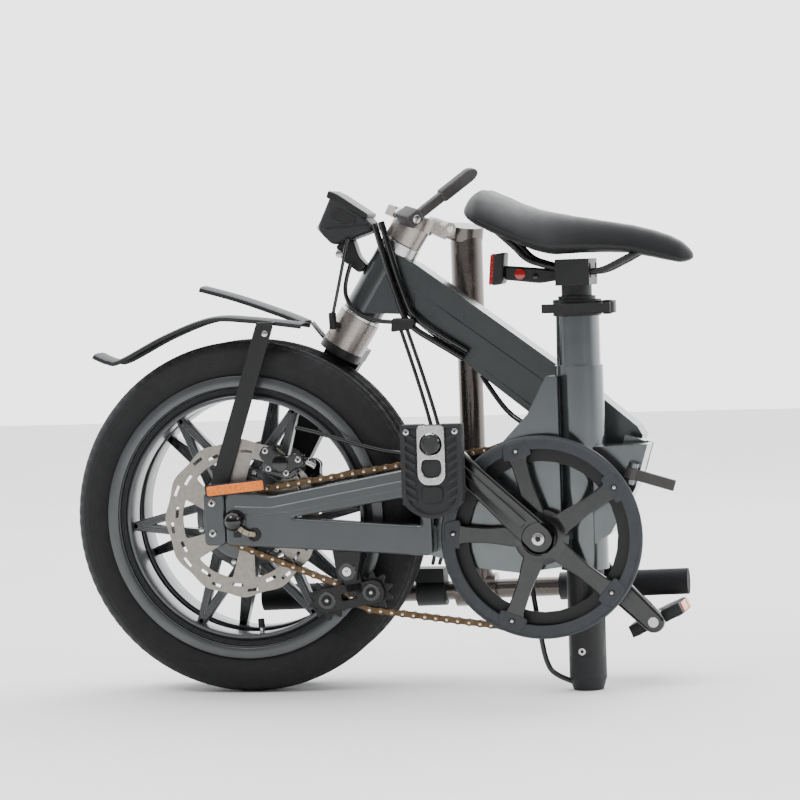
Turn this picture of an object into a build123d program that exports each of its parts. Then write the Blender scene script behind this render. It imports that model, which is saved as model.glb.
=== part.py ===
from build123d import *
import os
from math import asin, atan2, cos, hypot, pi, radians, sin

# Folding bicycle with a motor in its rear wheel, in its folded state. Millimetres.
# +X points to the front of the rear half, +Y to the rider's left, +Z up, and the
# origin is the centre of the seatpost's foot on the floor.

# Wheels and the two axle places
TYRE_R, TYRE_HALF = 200.0, 23.5
REAR_X, FRONT_X, AXLE_Z = -386.0, -392.0, 200.0
FRONT_Y = 75.0
HUB_R, FRONT_HUB_R, HUB_HALF, BEARING_R = 57.0, 30.0, 24.0, 13.0
AXLE_R = 7.0
RUN = 0.05
ROTOR_R, FRONT_ROTOR_R = 90.0, 80.0
# Drive
CRANK_X, CRANK_Z = -40.0, 175.0
CRANK_LENGTH, CRANK_ANGLE = 152.0, 44.5
CHAIN_Y, PITCH = -40.0, 12.7
SPINDLE_R = 8.5
PEDAL_Y, PEDAL_TILT, PEDAL_TOP = {-1: -105.0, 1: 91.0}, 25.0, 24.5
RING_R, SPROCKET_R, PULLEY_R = 105.2, 28.5, 20.5
PULLEY_LOW, PULLEY_HIGH = (-286.0, 107.4), (-235.0, 116.0)
TENSION_X, TENSION_Z = -259.4, 140.6
# Seat tube and seatpost, both on the Z axis
SEAT_R, SLEEVE_R, POST_R = 27.0, 24.5, 21.0
SEAT_LOW, SEAT_MID, SEAT_TOP = 135.0, 363.0, 418.0
CLAMP_PIVOT = (38.0, -22.0)
# Frame hinge: its pin's centre, lean and knuckle sizes
HINGE_AT, HINGE_LEAN = (62.35, 37.5, 252.3), 17.0
KNUCKLE_R, HINGE_PIN_R, LATCH_Y = 7.8, 4.5, -67.5
# Steering axis, measured upward from the middle of the head tube
STEER_AT, STEER_LEAN = (-238.75, FRONT_Y, 463.15), 32.0
HEAD_R, STEERER_R = 22.5, 12.7
# Handlepost hinge, post and bar
POST_HINGE_AT, POST_HINGE_AXIS = (-172.0, 100.0, 522.8), (0.693, -0.693, -0.199)
FLANGE_REACH = 35.4
STEM_TURN = 157.5
POST_X, POST_Y, INNER_R = -147.0, 125.0, 14.3
BAR_LEFT, BAR_RIGHT = (-402.0, POST_Y, 93.0), (99.0, POST_Y, 107.0)
BAR_R, GRIP_R, GRIP_LENGTH = 11.1, 15.0, 118.0

LOW = (Align.CENTER, Align.CENTER, Align.MIN)


def rod(start, end, radius):
    a, b = Vector(*start), Vector(*end)
    return Plane(origin=a, z_dir=b - a) * Cylinder(radius, (b - a).length, align=LOW)


def tube(start, end, outer, inner):
    return rod(start, end, outer) - rod(start, end, inner)


def across(x, z, y0, y1, outer, inner=0.0):
    """Round piece along Y, from y0 to y1, with its centre at x, z."""
    if inner:
        return tube((x, y0, z), (x, y1, z), outer, inner)
    return rod((x, y0, z), (x, y1, z), outer)


def slab(points, y0, y1, hollow=0.0):
    """Side outline in X and Z, as thick as y0 to y1, with an open pocket if hollow."""
    plane = Plane(origin=(0, y1, 0), x_dir=(1, 0, 0), z_dir=(0, -1, 0))
    outline = Polygon(*points, align=None)
    solid = extrude(plane * outline, amount=y1 - y0, dir=(0, -1, 0))
    if hollow:
        pocket = plane * offset(outline, amount=-hollow, kind=Kind.INTERSECTION)
        solid -= extrude(pocket, amount=y1 - y0 - hollow, dir=(0, -1, 0))
    return solid


def block(x0, x1, y0, y1, z0, z1):
    middle = ((x0 + x1) / 2, (y0 + y1) / 2, (z0 + z1) / 2)
    return Pos(*middle) * Box(x1 - x0, y1 - y0, z1 - z0)


def spun(profile, x, y, z):
    """Wheel-like piece: a radius and Y profile turned about the Y axis."""
    return Pos(x, y, z) * revolve(Polygon(*profile, align=None), axis=Axis.Y)


def group(*pieces):
    return Compound([solid for piece in pieces for solid in piece.solids()])


def cable(points, radius):
    """Round cord along straight runs that are joined by tangent arcs."""
    corners = [Vector(*p) for p in points]
    radii = []
    for before, here, after in zip(corners, corners[1:], corners[2:]):
        turn = radians((here - before).get_angle(after - here))
        run = min((here - before).length, (after - here).length)
        radii.append(0.45 * run / max(sin(turn / 2) / cos(turn / 2), 0.05))
    path = FilletPolyline(*corners, radius=radii) if len(corners) > 2 else Line(*corners)
    start = Plane(origin=path @ 0, z_dir=path % 0)
    return sweep(start * Circle(radius), path=path)


def outline_of(points, thickness):
    """Closed outline of a strip that follows the points and is this thick."""
    far = []
    for i, (x, z) in enumerate(points):
        x0, z0 = points[max(i - 1, 0)]
        x1, z1 = points[min(i + 1, len(points) - 1)]
        run = hypot(x1 - x0, z1 - z0)
        far.append((x + (z1 - z0) / run * thickness, z - (x1 - x0) / run * thickness))
    return points + far[::-1]


lean = radians(HINGE_LEAN)
hinge = Plane(origin=HINGE_AT, x_dir=(cos(lean), 0, -sin(lean)), z_dir=(sin(lean), 0, cos(lean)))
tilt = radians(STEER_LEAN)
steer = Plane(origin=STEER_AT, x_dir=(cos(tilt), 0, -sin(tilt)), z_dir=(sin(tilt), 0, cos(tilt)))
post_side = Plane(origin=POST_HINGE_AT, x_dir=(1, 1, 0), z_dir=POST_HINGE_AXIS)
turned = post_side.x_dir.rotate(Axis((0, 0, 0), POST_HINGE_AXIS), STEM_TURN)
stem_side = Plane(origin=POST_HINGE_AT, x_dir=turned, z_dir=POST_HINGE_AXIS)


def local_block(plane, x0, x1, y0, y1, z0, z1):
    return plane.location * block(x0, x1, y0, y1, z0, z1)


def local_rod(plane, x, y, z0, z1, radius):
    return plane.location * rod((x, y, z0), (x, y, z1), radius)


# ---------------------------------------------------------------- rear frame
def rear_frame():
    yoke = slab([(-178, 158), (-178, 250), (-120, 268), (-83, 281), (-55, 310), (-33, 352),
                 (-20, 352), (-20, 140), (-68, 134), (-122, 141)], -33, 15, hollow=7)
    seat_tube = rod((0, 0, SEAT_LOW), (0, 0, SEAT_MID), SEAT_R)
    sleeve = rod((0, 0, SEAT_MID), (0, 0, SEAT_TOP), SLEEVE_R)
    face = 8.0
    at = hinge.from_local_coords
    top, bottom = at(Vector(face, 0, 25)), at(Vector(face, 0, -25))
    lug = slab([(5, 272), (top.X, top.Z), (bottom.X, bottom.Z), (33, 175), (-5, 152)], -22, 22)
    body = yoke + seat_tube + sleeve + lug
    body += across(CRANK_X, CRANK_Z, -34, 34, 22)
    for low, high in ((-24, -9), (9, 24)):
        body += local_rod(hinge, 0, 0, low, high, KNUCKLE_R)
        body += local_block(hinge, -24, 0, -17.5, 0, low, high)
    for low, high in ((-22, -16.4), (-3.6, 2)):
        body += local_rod(hinge, 0, LATCH_Y, low, high, 5.5)
        body += local_block(hinge, -5.5, 5.5, LATCH_Y, -59, low, high)
    body += local_rod(hinge, 0, LATCH_Y, -22, 2, 3)
    body -= local_rod(hinge, 0, 0, -24, 24, HINGE_PIN_R)
    body -= local_block(hinge, -12, KNUCKLE_R + 0.3, -KNUCKLE_R - 0.4, 20, -8.9, 8.9)
    body -= across(CRANK_X, CRANK_Z, -34, 34, 16)
    body -= rod((0, 0, SEAT_LOW - 1), (0, 0, SEAT_TOP + 1), POST_R + RUN)
    body -= block(-26, -18, -1.2, 1.2, 378, 419)
    return body


def swingarm():
    arm = slab([(-397, 172), (-397, 232), (-372, 232), (-345, 226.6), (-195, 253.3),
                (-161, 259), (-161, 157), (-327.6, 167.8)], -62, -47)
    arm += block(-178, -161, -62, -33, 222, 249)
    arm += block(-178, -161, -62, -33, 159, 191)
    arm -= slab([(-320, 202), (-193, 222), (-160, 222), (-160, 191), (-174, 191)], -63, -40)
    arm -= across(REAR_X, AXLE_Z, -63, -46, AXLE_R)
    return arm


def seat_clamp():
    collar = tube((0, 0, SEAT_TOP), (0, 0, SEAT_TOP + 18), SEAT_R, POST_R + RUN)
    ears = block(23, 42, -13, 13, SEAT_TOP + 2, SEAT_TOP + 16)
    collar += ears - rod((0, 0, SEAT_TOP), (0, 0, SEAT_TOP + 18), SEAT_R - 1)
    collar -= block(20, 43, -1.5, 1.5, SEAT_TOP - 1, SEAT_TOP + 19)
    collar -= block(-28, -18, -1.2, 1.2, SEAT_TOP - 1, SEAT_TOP + 19)
    x, y = CLAMP_PIVOT
    for low in (1.2, 15.3):
        collar += block(x - 5, x + 3, y - 4, -12, SEAT_TOP + low, SEAT_TOP + low + 1.5)
    return collar + rod((x, y, SEAT_TOP + 1.2), (x, y, SEAT_TOP + 16.8), 2.5)


def seat_lever():
    z = SEAT_TOP + 9
    x, y = CLAMP_PIVOT
    boss = rod((x, y, z - 6), (x, y, z + 6), 7.5) - rod((x, y, z - 7), (x, y, z + 7), 2.5 + RUN)
    boss += block(30, 42, -36, -27, z - 5, z + 5)
    arm = Pos(0, 0, z) * extrude(Polygon((32, -30), (32, -36), (-26, -42), (-34, -38), (-34, -34),
                                         (-24, -36), align=None), amount=5, both=True)
    return boss + arm


# ---------------------------------------------------------------- wheels
RIM_HALF = [(134, 18), (138, 18), (141, 13), (146, 13), (149, 20), (161, 20), (161, 17),
            (153.5, 16.5), (152, 10), (144.5, 8)]


def spokes(x, y, z, hub_r, turn):
    """Six V-shaped spokes, each with its point at the rim."""
    bars = []
    for arm in range(6):
        tip_angle = radians(turn + 60 * arm)
        tip = (x + 137 * cos(tip_angle), y, z + 137 * sin(tip_angle))
        for side in (-17, 17):
            root_angle = tip_angle + radians(side)
            root = Vector(x + (hub_r - 4) * cos(root_angle), y, z + (hub_r - 4) * sin(root_angle))
            length = (Vector(*tip) - root).length
            bar = Plane(origin=root, x_dir=(0, 1, 0), z_dir=Vector(*tip) - root)
            bars.append(bar * Box(16, 9.5, length, align=LOW))
    return bars


def wheel(x, y, hub_r, turn, bore):
    rim = spun(RIM_HALF + [(r, -w) for r, w in RIM_HALF[::-1]], x, y, AXLE_Z)
    solid = rim + across(x, AXLE_Z, y - HUB_HALF, y + HUB_HALF, hub_r)
    for bar in spokes(x, y, AXLE_Z, hub_r, turn):
        solid += bar
    if bore > 20:
        solid -= across(x, AXLE_Z, y - HUB_HALF + 5, y + HUB_HALF + 1, bore)
    boss = (y - 28.5, y - HUB_HALF) if y < 1 else (y + HUB_HALF, y + 26)
    solid += across(x, AXLE_Z, *boss, 20)
    solid -= across(x, AXLE_Z, y - 30, y + 30, BEARING_R + RUN)
    valve_x, valve_z = x + 148 * cos(radians(turn + 30)), AXLE_Z + 148 * sin(radians(turn + 30))
    inward = (x + 120 * cos(radians(turn + 30)), y, AXLE_Z + 120 * sin(radians(turn + 30)))
    return solid - rod(inward, (2 * valve_x - inward[0], y, 2 * valve_z - inward[2]), 3.3)


def tyre(x, y):
    outer = [(178 + 22 * cos(radians(a)), TYRE_HALF * sin(radians(a))) for a in range(-125, 126, 10)]
    inner = [(178 + 19 * cos(radians(a)), 20.5 * sin(radians(a))) for a in range(-120, 121, 10)]
    beads = [(162, 16.6), (154, 16.2), (154, 12.5), (163, 13)]
    profile = outer + beads + inner[::-1] + [(r, -w) for r, w in beads[::-1]]
    return spun(profile, x, y, AXLE_Z)


def inner_tube(x, y):
    ring = Rot(90, 0, 0) * (Torus(177, 15) - Torus(177, 13.6))
    return Pos(x, y, AXLE_Z) * ring


def valve(x, y, turn):
    way = (cos(radians(turn + 30)), 0, sin(radians(turn + 30)))
    start = Vector(x, y, AXLE_Z) + Vector(*way) * 122
    end = Vector(x, y, AXLE_Z) + Vector(*way) * 161.6
    return rod(start, end, 2.9)


def rotor(x, y0, y1, radius):
    disc = across(x, AXLE_Z, y0, y1, radius, 14)
    for step in range(6):
        a = radians(60 * step)
        cx, cz = x + (radius - 38) * cos(a), AXLE_Z + (radius - 38) * sin(a)
        disc -= across(cx, cz, y0 - 1, y1 + 1, 15)
    return disc


def axle(x, y, y0, y1):
    """Axle with its two bearings, whose outer faces run in the hub."""
    pair = [across(x, AXLE_Z, y + low, y + low + 8, BEARING_R, AXLE_R) for low in (-23, 15)]
    return [across(x, AXLE_Z, y0, y1, AXLE_R), *pair]


def motor_cover():
    cover = across(REAR_X, AXLE_Z, HUB_HALF - 5, HUB_HALF, 49, BEARING_R + RUN)
    heads = []
    for step in range(6):
        a = radians(15 + 60 * step)
        x, z = REAR_X + 42 * cos(a), AXLE_Z + 42 * sin(a)
        heads.append(across(x, z, HUB_HALF, HUB_HALF + 3, 3.5))
    return group(cover, *heads)


# ---------------------------------------------------------------- chain drive
def toothed(x, z, pitch_r, teeth, width, bore):
    disc = across(x, z, CHAIN_Y - width / 2, CHAIN_Y + width / 2, pitch_r - 5, bore)
    for step in range(teeth):
        a = 2 * pi * step / teeth
        root = Vector(x + (pitch_r - 6) * cos(a), CHAIN_Y, z + (pitch_r - 6) * sin(a))
        tooth = Plane(origin=root, x_dir=(0, 1, 0), z_dir=(cos(a), 0, sin(a)))
        disc += tooth * Box(width, 5, 3.6, align=LOW)
    return disc


def chain_runs():
    """Straight runs and wraps of the chain: centre, radius and side of each wheel."""
    wheels = [(REAR_X, AXLE_Z, SPROCKET_R, 1), (CRANK_X, CRANK_Z, RING_R, 1),
              (*PULLEY_HIGH, PULLEY_R, 1), (*PULLEY_LOW, PULLEY_R, -1)]
    lines = []
    for (x1, z1, r1, s1), (x2, z2, r2, s2) in zip(wheels, wheels[1:] + wheels[:1]):
        span = hypot(x2 - x1, z2 - z1)
        way = atan2(z2 - z1, x2 - x1) - asin((s1 * r1 - s2 * r2) / span)
        nx, nz = -sin(way), cos(way)
        lines.append(((x1 + s1 * r1 * nx, z1 + s1 * r1 * nz), (x2 + s2 * r2 * nx, z2 + s2 * r2 * nz)))
    return wheels, lines


def chain_path(y):
    wheels, lines = chain_runs()
    edges = []
    for i, (start, end) in enumerate(lines):
        edges.append(Line((start[0], y, start[1]), (end[0], y, end[1])))
        x, z, r, side = wheels[(i + 1) % 4]
        after = lines[(i + 1) % 4][0]
        a0, a1 = atan2(end[1] - z, end[0] - x), atan2(after[1] - z, after[0] - x)
        sweep_angle = (a1 - a0) % (2 * pi)
        if side > 0:
            sweep_angle -= 2 * pi
        mid = a0 + sweep_angle / 2
        edges.append(ThreePointArc((end[0], y, end[1]), (x + r * cos(mid), y, z + r * sin(mid)),
                                   (after[0], y, after[1])))
    return Wire(edges)


def chain():
    solids = []
    for y in (CHAIN_Y - 3.6, CHAIN_Y + 3.6):
        path = chain_path(y)
        start = Plane(origin=path @ 0, x_dir=(0, 1, 0), z_dir=path % 0)
        solids.append(sweep(start * Rectangle(1.2, 7.6), path=path))
    path = chain_path(CHAIN_Y)
    count = round(path.length / PITCH)
    for step in range(count):
        p = path @ (step / count)
        solids.append(across(p.X, p.Z, CHAIN_Y - 3.0, CHAIN_Y + 3.0, 1.8))
    return group(*solids)


def chain_guard():
    ring = across(CRANK_X, CRANK_Z, -50, -46.5, 113, 97)
    for step in range(5):
        a = radians(33 + 72 * step)
        way = Vector(cos(a), 0, sin(a))
        start = Vector(CRANK_X, -48.25, CRANK_Z) + way * 20
        ring += Plane(origin=start, x_dir=(0, 1, 0), z_dir=way) * Box(3.5, 22, 80, align=LOW)
    ring += across(CRANK_X, CRANK_Z, -52, -46.5, 26)
    return ring - across(CRANK_X, CRANK_Z, -53, -46, SPINDLE_R)


def chainring():
    ring = toothed(CRANK_X, CRANK_Z, RING_R, 52, 4.4, 84)
    for step in range(5):
        a = radians(33 + 72 * step)
        ring += across(CRANK_X + 90 * cos(a), CRANK_Z + 90 * sin(a), -46.5, -40, 5)
    return ring


def crank_spindle():
    pair = [across(CRANK_X, CRANK_Z, y, y + 13, 16 - RUN, SPINDLE_R) for y in (-33, 20)]
    return group(across(CRANK_X, CRANK_Z, -70, 56, SPINDLE_R), *pair)


def pedal_eye(side):
    """Angle and place of a crank's pedal eye; side is -1 on the right and 1 on the left."""
    a = radians(180 - CRANK_ANGLE if side < 0 else -CRANK_ANGLE)
    return a, CRANK_X + CRANK_LENGTH * cos(a), CRANK_Z + CRANK_LENGTH * sin(a)


def crank(side):
    a, ex, ez = pedal_eye(side)
    hub_y, eye_y = (-70, -78) if side < 0 else (38, 46)
    thick = 18
    arm = across(CRANK_X, CRANK_Z, hub_y, hub_y + thick, 19)
    arm += across(ex, ez, eye_y, eye_y + 14, 13)
    near = Plane(origin=(CRANK_X, hub_y + 8, CRANK_Z), x_dir=(0, 1, 0), z_dir=(cos(a), 0, sin(a)))
    far = Plane(origin=(ex, eye_y + 7, ez), x_dir=(0, 1, 0), z_dir=(cos(a), 0, sin(a)))
    arm += loft([near * Rectangle(14, 28), far * Rectangle(11, 20)])
    arm -= across(CRANK_X, CRANK_Z, hub_y - 1, hub_y + thick + 1, SPINDLE_R)
    return arm - across(ex, ez, eye_y - 1, eye_y + 15, 6)


def pedal_axle(side):
    """Pedal spindle with the knuckle that the cage folds on."""
    ex, ez = pedal_eye(side)[1:]
    inner, outer = (PEDAL_Y[side], -64) if side < 0 else (46, PEDAL_Y[side])
    spindle = across(ex, ez, inner, outer, 6 - RUN)
    tilt_y = 0 if side < 0 else -PEDAL_TILT
    place = Pos(ex, PEDAL_Y[side], ez) * Rot(0, tilt_y, 0)
    spindle += place * rod((-7, 0, 0), (7, 0, 0), 7)
    return spindle - place * rod((-8, 0, 0), (8, 0, 0), 3 + RUN)


def pedal(width, thick, reach):
    """Pedal that hangs below its fold pin, at the origin, with the pin along X."""
    cage = block(-width / 2, width / 2, -thick / 2, thick / 2, PEDAL_TOP - reach, PEDAL_TOP)
    cage -= block(-7.5, 7.5, -7.5, thick, -8, PEDAL_TOP + 1)
    for x in (-1, 1):
        window = sorted((x * 11, x * (width / 2 - 9)))
        cage -= block(*window, -thick, thick, PEDAL_TOP - reach + 12, -22)
    cage -= rod((-15, 0, 0), (15, 0, 0), 3)
    edge = width / 2
    strips = [block(*sorted((x * edge, x * (edge + 2))), -5, 5, -56, -24) for x in (-1, 1)]
    return group(cage, rod((-15, 0, 0), (15, 0, 0), 3), *strips)


def right_pedal():
    ex, ez = pedal_eye(-1)[1:]
    return Pos(ex, PEDAL_Y[-1], ez) * pedal(68, 20, 103)


def left_pedal():
    ex, ez = pedal_eye(1)[1:]
    return Pos(ex, PEDAL_Y[1], ez) * Rot(0, -PEDAL_TILT, 0) * Rot(90, 0, 0) * pedal(64, 14, 90)


def tensioner_cage():
    around = [(TENSION_X, TENSION_Z, 11), (*PULLEY_LOW, 10), (*PULLEY_HIGH, 10)]
    plates = None
    for y0, y1, members in ((-49.5, -47, around), (-33.5, -31, around[1:])):
        for x, z, r in members:
            piece = across(x, z, y0, y1, r)
            plates = piece if plates is None else plates + piece
        for (xa, za, ra), (xb, zb, rb) in zip(members, members[1:] + members[:1]):
            wide = Plane(origin=(xa, y0, za), x_dir=(xb - xa, 0, zb - za), z_dir=(0, 1, 0))
            bar = wide * Box(hypot(xb - xa, zb - za), 16, y1 - y0,
                             align=(Align.MIN, Align.CENTER, Align.MIN))
            plates += bar
    for x, z in (PULLEY_LOW, PULLEY_HIGH):
        plates += across(x, z, -47, -33.5, 3)
    return plates - across(TENSION_X, TENSION_Z, -50, -46, 4 + RUN)


def tensioner_bracket():
    plate = slab([(-277, 175), (-241, 175), (-249, 130), (-270, 130)], -60, -51) - swingarm()
    return plate + across(TENSION_X, TENSION_Z, -60, -46.5, 4)


def pulley(place):
    return toothed(*place, PULLEY_R, 10, 4.4, 3 + RUN)


# ---------------------------------------------------------------- front half
def front_frame():
    at = hinge.from_local_coords
    top, bottom = at(Vector(-8.4, 0, 26)), at(Vector(-8.4, 0, -26))
    along = steer.from_local_coords
    head_top, head_low = along(Vector(0, 0, 36)), along(Vector(0, 0, -43))
    outline = [(head_top.X, head_top.Z), (-193.5, 480.8), (-96.7, 408.9), (13.5, 326.2), (56, 290),
               (top.X, top.Z), (bottom.X, bottom.Z), (-48.3, 293.4), (-121.7, 352.4),
               (-206.6, 423.7), (head_low.X, head_low.Z)]
    beam = slab(outline, 53, 97, hollow=5)
    beam += slab(outline, 94, 97)
    body = beam + local_rod(steer, 0, 0, -45, 38, HEAD_R)
    body += local_rod(hinge, 0, 0, -8.6, 8.6, KNUCKLE_R)
    body += local_block(hinge, -24, -8.6, 0, 18.5, -8.6, 8.6)
    body += local_block(hinge, -8.6, 0, 0, 15.1, -8.6, 8.6)
    body -= local_rod(hinge, 0, 0, -10, 10, HINGE_PIN_R + RUN)
    body -= local_rod(steer, 0, 0, 38, 60, 24)
    return body - local_rod(steer, 0, 0, -46, 39, 17)


def headset_cups():
    low = local_rod(steer, 0, 0, -49, -45, 24) + local_rod(steer, 0, 0, -45, -35, 17)
    high = local_rod(steer, 0, 0, 38, 50, 23) + local_rod(steer, 0, 0, 28, 38, 17)
    bore = local_rod(steer, 0, 0, -60, 60, STEERER_R + RUN)
    return group(low - bore, high - bore)


def fork():
    body = local_rod(steer, 0, 0, -97, 80, STEERER_R)
    body += local_rod(steer, 0, 0, -98, -88, 25)
    body += local_block(steer, -22, 22, 0, 51, -98, -82.6) - local_rod(steer, 0, 0, -88, -80, 25.5)
    leg = slab([(-304.6, 404), (-264.6, 380), (-290, 345), (-378, 186), (-392, 180), (-408, 190),
                (-409, 208)], 106, 126)
    body += leg
    return body - across(FRONT_X, AXLE_Z, 100, 127, AXLE_R)


def crown_sleeve():
    ring = local_rod(steer, 0, 0, -88, -49.4, 24.5)
    return ring - local_rod(steer, 0, 0, -90, -40, STEERER_R)


def stem_head():
    body = local_rod(steer, 0, 0, 51, 78, 22)
    axis = Plane(origin=stem_side.from_local_coords(Vector(FLANGE_REACH, 16, 0)),
                 z_dir=-stem_side.y_dir)
    body += axis * Cylinder(23, 15.8, align=LOW)
    for low, high in ((-20, -8.6), (8.6, 20)):
        body += local_rod(stem_side, 0, 0, low, high, 8)
        body += local_block(stem_side, 0, 34, 0.3, 13, low, high)
    body += local_block(stem_side, 50, 73, 2, 14, -8, 8)
    body -= local_rod(stem_side, 0, 0, -21, 21, 4)
    body -= local_rod(stem_side, 66, 8, -9, 9, 3)
    body -= local_rod(stem_side, 0, 0, -8.6, 8.6, 8.3)
    return body - local_rod(steer, 0, 0, 45, 80.5, STEERER_R)


def stem_latch():
    hub = local_rod(stem_side, 66, 8, 9, 45, 8)
    start = stem_side.from_local_coords(Vector(66, 8, 39))
    way = Vector(0.662, 0.502, 0.555).normalized()
    bar = Plane(origin=start, x_dir=POST_HINGE_AXIS, z_dir=way) * Box(11, 15, 96, align=LOW)
    return hub + bar - local_rod(stem_side, 66, 8, 8, 46, 3 + RUN)


def handlepost():
    axis = Plane(origin=post_side.from_local_coords(Vector(FLANGE_REACH, -16, 0)),
                 z_dir=post_side.y_dir)
    body = axis * Cylinder(21, 15.8, align=LOW)
    body += local_rod(post_side, 0, 0, -8.3, 8.3, KNUCKLE_R)
    body += local_block(post_side, 0, 34, -13, -0.3, -8.3, 8.3)
    body += rod((POST_X, POST_Y, 410), (POST_X, POST_Y, 512), 18.5)
    body += rod((POST_X, POST_Y, 402), (POST_X, POST_Y, 418), 21)
    body -= local_rod(post_side, 0, 0, -10, 10, 4 + RUN)
    return body - rod((POST_X, POST_Y, 400), (POST_X, POST_Y, 503), INNER_R + RUN)


def bar_point(along, y=0.0, z=0.0):
    """Point at a distance from the bar's left end, moved by y and z."""
    a, b = Vector(*BAR_LEFT), Vector(*BAR_RIGHT)
    p = a + (b - a).normalized() * along
    return (p.X, p.Y + y, p.Z + z)


BAR_LENGTH = (Vector(*BAR_RIGHT) - Vector(*BAR_LEFT)).length
MIDDLE = POST_X - BAR_LEFT[0]


def inner_post():
    """Sliding tube and the clamp that holds the bar at its end."""
    clamp = rod(bar_point(MIDDLE - 24), bar_point(MIDDLE + 24), 19)
    clamp += rod((POST_X, POST_Y, 105), (POST_X, POST_Y, 134), 18)
    clamp -= rod((POST_X, POST_Y, 116), (POST_X, POST_Y, 135), INNER_R)
    clamp -= rod(bar_point(MIDDLE - 30), bar_point(MIDDLE + 30), BAR_R)
    return group(clamp, tube((POST_X, POST_Y, 116), (POST_X, POST_Y, 480), INNER_R, INNER_R - 2.8))


def handlebar():
    return tube(bar_point(2), bar_point(BAR_LENGTH - 2), BAR_R, BAR_R - 2)


def grips():
    left = tube(bar_point(2), bar_point(GRIP_LENGTH), GRIP_R, BAR_R)
    left += rod(bar_point(-1), bar_point(2), GRIP_R)
    end = BAR_LENGTH
    right = tube(bar_point(end - GRIP_LENGTH), bar_point(end - 2), GRIP_R, BAR_R)
    right += rod(bar_point(end - 2), bar_point(end + 1), GRIP_R)
    return group(left, right)


LEVER_PLACES = (GRIP_LENGTH + 22, BAR_LENGTH - GRIP_LENGTH - 22)


def control_pod():
    bore = rod(bar_point(MIDDLE - 80), bar_point(MIDDLE - 20), BAR_R)
    base = rod(bar_point(MIDDLE - 70), bar_point(MIDDLE - 36), 17)
    return base + Pos(*bar_point(MIDDLE - 53, -4, 20)) * Box(34, 30, 16) - bore


def bar_controls():
    """Lever perches near the grips and the control box beside the post."""
    pair = [control_pod()]
    for place in LEVER_PLACES:
        perch = tube(bar_point(place - 8), bar_point(place + 8), 16, BAR_R)
        perch += Pos(*bar_point(place, 25)) * Box(16, 22, 14)
        pair.append(perch - rod(bar_point(place - 9), bar_point(place + 9), BAR_R))
    return group(*pair)


def brake_lever(side):
    place = LEVER_PLACES[0] if side > 0 else LEVER_PLACES[1]
    way = -side
    hub = Pos(*bar_point(place, 43)) * Cylinder(7, 12)
    blade = Pos(*bar_point(place + way * 55, 43)) * Box(105, 9, 9)
    return hub + blade


# ---------------------------------------------------------------- seat
def saddle():
    side = slab([(-116, 548), (-98, 564), (-59, 544), (-28, 535), (7, 528.5), (60, 519), (95, 509),
                 (121, 497.5), (132, 481.5), (129, 472.5), (120, 471), (85, 478.5), (62, 484.6),
                 (14, 487), (-21, 484), (-37, 488), (-58, 498.5), (-113, 533.5)], -100, 100)
    half = [(134, 9), (122, 19), (60, 29), (10, 44), (-35, 72), (-70, 88), (-98, 84), (-117, 55)]
    plan = Polygon(*half, *[(x, -y) for x, y in half[::-1]], align=None)
    return side & (Pos(0, 0, 460) * extrude(plan, amount=120, dir=(0, 0, 1)))


def saddle_rails():
    route = [(-66, 498), (-52, 482), (-24, 472.8), (24, 466), (36, 469), (60, 480.5)]
    pair = [cable([(x, y, z) for x, z in route], 3.5) for y in (-22, 22)]
    return group(*pair)


def saddle_clamp():
    body = block(-19, 19, -30, 30, 452, 481)
    body += rod((0, 0, 440), (0, 0, 453), 17)
    for y in (-22, 22):
        body -= block(-20, 20, y - 4.5, y + 4.5, 460, 476)
    return body


def seatpost():
    shell = tube((0, 0, 38), (0, 0, 440), POST_R, POST_R - 2)
    return shell + rod((0, 0, 432), (0, 0, 440), POST_R - 1)


def battery_pack():
    return rod((0, 0, 60), (0, 0, 420), POST_R - 2.6)


def foot_cap():
    plane = Plane(origin=(0, 0, 0), z_dir=(0, 0, 1))
    cap = loft([plane * Circle(17), plane.offset(12) * Circle(20.5)])
    cap += rod((0, 0, 12), (0, 0, 38), POST_R)
    return cap + rod((0, 0, 38), (0, 0, 46), POST_R - 2.2)


def rear_light():
    place = Pos(-74, 0, 472) * Rot(0, -28, 0)
    return place * Box(30, 34, 34)


def light_bracket():
    bracket = block(-57, -19, -6, 6, 462, 468)
    return bracket - Pos(-74, 0, 472) * Rot(0, -28, 0) * Box(30, 34, 34)


# ---------------------------------------------------------------- small fittings
def rear_mudguard():
    outline = [(-555, 391), (-539, 384), (-525, 385), (-472, 411), (-419, 428.7), (-371, 427),
               (-311, 419)]
    return slab(outline_of(outline, 3), -24, 24)


def mudguard_stay():
    bar = slab([(-360.4, 421), (-420, 240), (-418, 222), (-406, 222), (-400.5, 237), (-340.8, 418)],
               -35, -32.5)
    bar += block(-361, -341, -35, -20, 417.5, 421.5)
    bar += across(-412, 226, -47, -35, 4)
    guard = slab(outline_of([(-419, 428.7), (-371, 427), (-311, 419)], 3.2), -25, 25)
    return bar - guard


def caliper(x, y, z, turn):
    """Brake caliper that straddles a rotor, with its two pads."""
    place = Pos(x, y, z) * Rot(0, turn, 0)
    body = place * (block(-23, 23, -15, 15, -15, 15) - block(-24, 24, -3, 3, -16, 9))
    pads = [place * block(-12, 12, *sorted((s * 1.6, s * 3.0)), -13, 6) for s in (-1, 1)]
    return [body, *pads]


def rear_caliper():
    plate = slab([(-362, 292), (-325, 300), (-300, 262), (-305, 236), (-350, 226)], -58, -44.5)
    return group(*caliper(-342, -29.5, 284, 26), plate - swingarm())


def front_caliper():
    arm = block(-362, -322, 117, 122, 222, 246) - fork()
    return group(*caliper(-317, 102, 233.3, 66), arm)


def headlight_shell():
    shell = slab([(-289, 565), (-308, 524), (-289, 504), (-238, 521), (-250, 537)], FRONT_Y - 24,
                 FRONT_Y + 24)
    return fillet(shell.edges().filter_by(Axis.Y), 5)


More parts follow.
